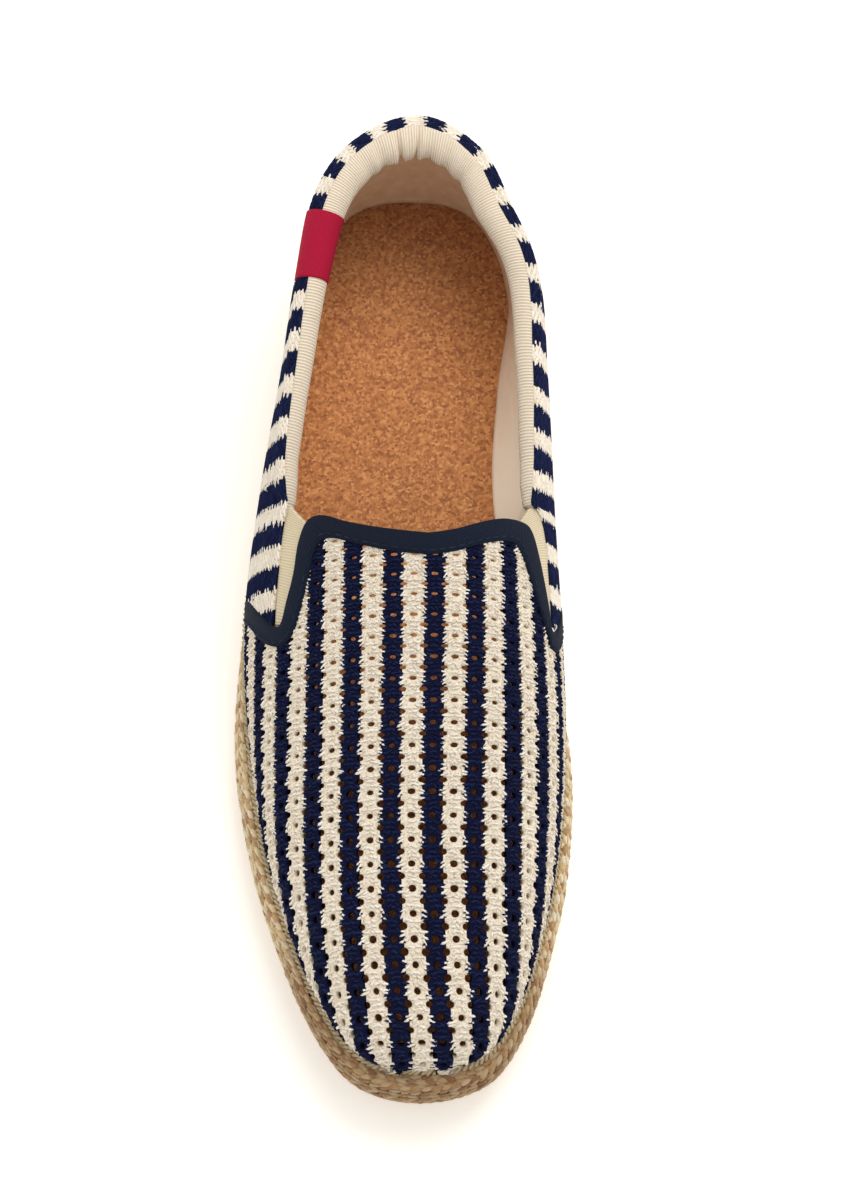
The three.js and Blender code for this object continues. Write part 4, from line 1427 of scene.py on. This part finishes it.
def gore_grid(side, steps=40, wide=9):
    """Panel from the gore's lower point to the topline, tucked in under both neighbours"""
    t = np.linspace(gore_start, 1, 160)
    grid, flat = [], []
    for share in np.linspace(-gore_lap, 1 + gore_lap + gore_tuck[side], wide):
        front_y, front_climb = edge_line(gore_front, side, t)
        rear_y, rear_climb = edge_line(gore_rear, side, t)
        y = front_y + share * (rear_y - front_y) - gore_foot * (1 - t) ** 6
        climb = front_climb + share * (rear_climb - front_climb)
        line = on_skin(side, y, climb, -gore_recess)
        above = line[:, 2] - topline_z(line[:, 1])
        last = np.interp(0, above, t) if above[-1] > 0 else 1.0
        wanted = np.linspace(t[0], last, steps)
        grid.append(resample(line, t, wanted))
        flat.append(np.stack([wanted * gore_length, np.full(steps, share * gore_width)], -1))
    return np.array(grid), np.concatenate(flat)


for side in ("lateral", "medial"):
    gore = woven(f"elastic_gore_{side}", *gore_grid(side))
    thicken(gore, gore_thickness)
    fit(gore, elastic, "elastic", f"gore_{side}")


# Binding: navy twill tape folded over the vamp's raw edge, from the rope on one side, round
# both gores and the throat, to the rope on the other. One line of stitching holds it in front.
# Each point of its section: the share of its width, and the distance out from the skin
tape_section = (
    (0.00, 0.10), (-0.01, 0.55), (0.03, 0.80), (0.14, 0.92), (0.35, 1.02), (0.65, 1.10),
    (0.88, 1.05), (0.98, 0.85), (1.03, 0.35), (1.04, -0.60), (1.02, -1.60), (0.94, -2.15),
    (0.75, -2.30), (0.45, -2.30), (0.45, -1.50), (0.90, -1.40), (0.95, 0.05),
)
tape_girth = 16
tape_slip = 0.004
flat_at_rope = 0.25
rise_from_rope = 3.5
stitch_step = 2.9
stitch_inset = 0.16
thread_height = 0.95
thread_half_sizes = (1.1, 0.3, 0.26)


def tape_point(side, t, share, offset):
    """Point of the tape: t from rope to throat, share from its front edge to its rear edge"""
    front_y, front_climb = edge_line(tape_front, side, t)
    rear_y, rear_climb = edge_line(tape_rear, side, t)
    y = front_y + share * (rear_y - front_y)
    climb = np.clip(front_climb + share * (rear_climb - front_climb), 0, 1)
    pressed = np.clip(flat_at_rope + rise_from_rope * t, 0, 1) if offset > 0 else 1.0
    return on_skin(side, y, climb, offset * pressed)


tape_t = np.linspace(0, 1, 150)
lateral_tape, medial_tape = (
    np.stack([tape_point(side, tape_t, share, offset) for share, offset in tape_section], 1)
    for side in ("lateral", "medial")
)
tape_points = np.concatenate([lateral_tape, medial_tape[-2::-1]])
first_end, last_end = (np.repeat(tape_points[k].mean(0)[None, None], len(tape_section), 1) for k in (0, -1))
tape_points = np.concatenate([first_end, tape_points, last_end])
tape_flat = flat_grid(run_along(tape_points[:, 4]), np.linspace(0, tape_girth, len(tape_section)))
tape = woven("twill_binding", tape_points, tape_flat, closed=True)
twill = Finish("navy_twill", Roughness=0.9, Specular_IOR_Level=0.2)
slope = twill.flat(2 * math.pi / 0.75, 2 * math.pi / 0.62)
twill_line = 0.5 + 0.5 * (twill.axis(slope, "X") + twill.axis(slope, "Y")).sine()
lint = twill.noise(twill.solid(), 1.2, 3.0, 0.6)
twill_tone = 0.5 * twill_line + 0.6 * lint
twill.set("Base Color", twill.ramp(twill_tone, (0.2, dye("080f1b")), (0.9, dye("151f34"))))
twill.relief(0.7 * twill_line + 0.5 * lint, 0.16)
fit(tape, twill, "navy_tape", "vamp_binding")

stitch_lines = []
for side in ("lateral", "medial"):
    dense_t = np.linspace(0, 1, 800)
    run = run_along(tape_point(side, dense_t, stitch_inset, thread_height))
    wanted = np.interp(np.arange(stitch_step / 2, run[-1], stitch_step), run, dense_t)
    here, ahead = (tape_point(side, wanted + step, stitch_inset, thread_height) for step in (0, tape_slip))
    lifted = tape_point(side, wanted, stitch_inset, thread_height + 1)
    stitch_lines.append((here, unit(ahead - here), unit(lifted - here)))
here, along, out = (np.concatenate(part) for part in zip(*stitch_lines))
thread_form = bead(6, 4, 3.0)
laid_thread = strands(thread_form, here, (along, np.cross(out, along), out), thread_half_sizes)
thread_tone = np.repeat(chance.uniform(0, 1, len(here)), len(thread_form[0]))
navy_thread = yarn_finish("navy_thread", "27354e", "16202f")
yarn_piece("binding_stitches", [(*laid_thread, thread_tone)], navy_thread)


# Side tab: a short piece of plain red woven ribbon, folded over the collar on the outer side
# of the foot near the heel and sewn down under its lower edges.
tab_from_heel = 27.0
tab_length = 20.0
tab_drop = 7.0
tab_lift = 0.75
tab_thickness = 0.9
tab_girth = 22
tab_inner_angle = 222
tab_samples = 30
tab_rear_y = heel_y - tab_from_heel
lateral_line = -quarter_table[heel_index::-1, 3, 1], quarter_stations[heel_index::-1]
tab_rear, tab_front = (np.interp(step - tab_rear_y, *lateral_line) for step in (0, tab_length))
tab_stations = np.linspace(tab_rear, tab_front, tab_samples)
tab_run = collar_distance(tab_stations)
down = np.linspace(tab_drop, 0, 12)[:-1]
outside = quarter(*np.meshgrid(tab_run, down, indexing="ij"))
inner_angles = np.broadcast_to(np.linspace(knit_edge_angle, tab_inner_angle, 14), (tab_samples, 14))
tab_grid = smoothed(np.concatenate([outside, roll(tab_stations, inner_angles)], 1), 4)
tab_out = unit(np.cross(np.gradient(tab_grid, axis=1), np.gradient(tab_grid, axis=0)))
tab_out *= np.sign(tab_out[tab_samples // 2, 8, 2])
tab_flat = flat_grid(tab_run, np.linspace(0, tab_girth, tab_grid.shape[1]))
tab = woven("side_tab_ribbon", tab_grid + tab_out * tab_lift, tab_flat)
thicken(tab, tab_thickness)
red = Finish("red_ribbon", Roughness=0.85, Specular_IOR_Level=0.2)
ribbon_warp, ribbon_weft = red.ripples(0.5, 0.7)
ribbon_weave = 0.5 + 0.25 * ribbon_warp + 0.25 * ribbon_weft
red.set("Base Color", red.ramp(ribbon_weave, (0.1, dye("8f0a28")), (0.9, dye("b4123a"))))
red.relief(ribbon_weave, 0.12)
fit(tab, red, "red_tab", "side_tab")


# Studio: a pale table in a pale room, under one wide soft light above the heel and to the right.
# The camera looks down from beyond the toe, rolled until the heel points straight up.
azimuth = math.radians(-8)
elevation = math.radians(73)
camera_distance = 1350.0
picture_height = 1200
pixels_per_millimetre = 3.45
aim = np.array([0.0, 1.5, 45.0])
back = Vector((
    math.sin(azimuth) * math.cos(elevation),
    -math.cos(azimuth) * math.cos(elevation),
    math.sin(elevation),
))
heelwards = Vector((0, 1, 0))
upright = (heelwards - back * heelwards.dot(back)).normalized()
lens = bpy.data.cameras.new("camera")
lens.lens = pixels_per_millimetre * camera_distance * lens.sensor_width / picture_height
camera = bpy.data.objects.new("camera", lens)
bpy.context.scene.collection.objects.link(camera)
turned = Matrix((upright.cross(back), upright, back)).transposed().to_4x4()
camera.matrix_world = Matrix.Translation(
    Vector((aim + shift) * millimetre) + back * camera_distance * millimetre
) @ turned
bpy.context.scene.camera = camera

table_half = 6000.0
room_light = 0.83
table_points = np.array([(x * table_half, y * table_half, 0.0) for y in (-1, 1) for x in (-1, 1)])
table = make_piece("table", table_points - shift, [(0, 1, 3, 2)])
table_finish = Finish("pale_table", Roughness=0.9)
table_finish.set("Base Color", dye("f6f4ee"))
table_finish.set("Emission Color", dye("fefdf8"))
table_finish.set("Emission Strength", 0.3)
table.data.materials.append(table_finish.material)


def soft_light(name, place, size, power, color):
    """A square area light aimed at the shoe"""
    lamp = bpy.data.lights.new(name, "AREA")
    lamp.size = size
    lamp.energy = power
    lamp.color = color
    holder = bpy.data.objects.new(name, lamp)
    holder.location = place
    holder.rotation_euler = (-Vector(place)).to_track_quat("-Z", "Y").to_euler()
    bpy.context.scene.collection.objects.link(holder)


soft_light("overhead", place=(0.35, 0.9, 1.6), size=1.1, power=18.0, color=(1.0, 0.98, 0.95))
room = bpy.data.worlds.new("pale_room")
room.use_nodes = True
background = room.node_tree.nodes["Background"]
background.inputs["Color"].default_value = (1.0, 0.99, 0.975, 1.0)
background.inputs["Strength"].default_value = room_light
bpy.context.scene.world = room
bpy.context.scene.view_settings.view_transform = "Standard"
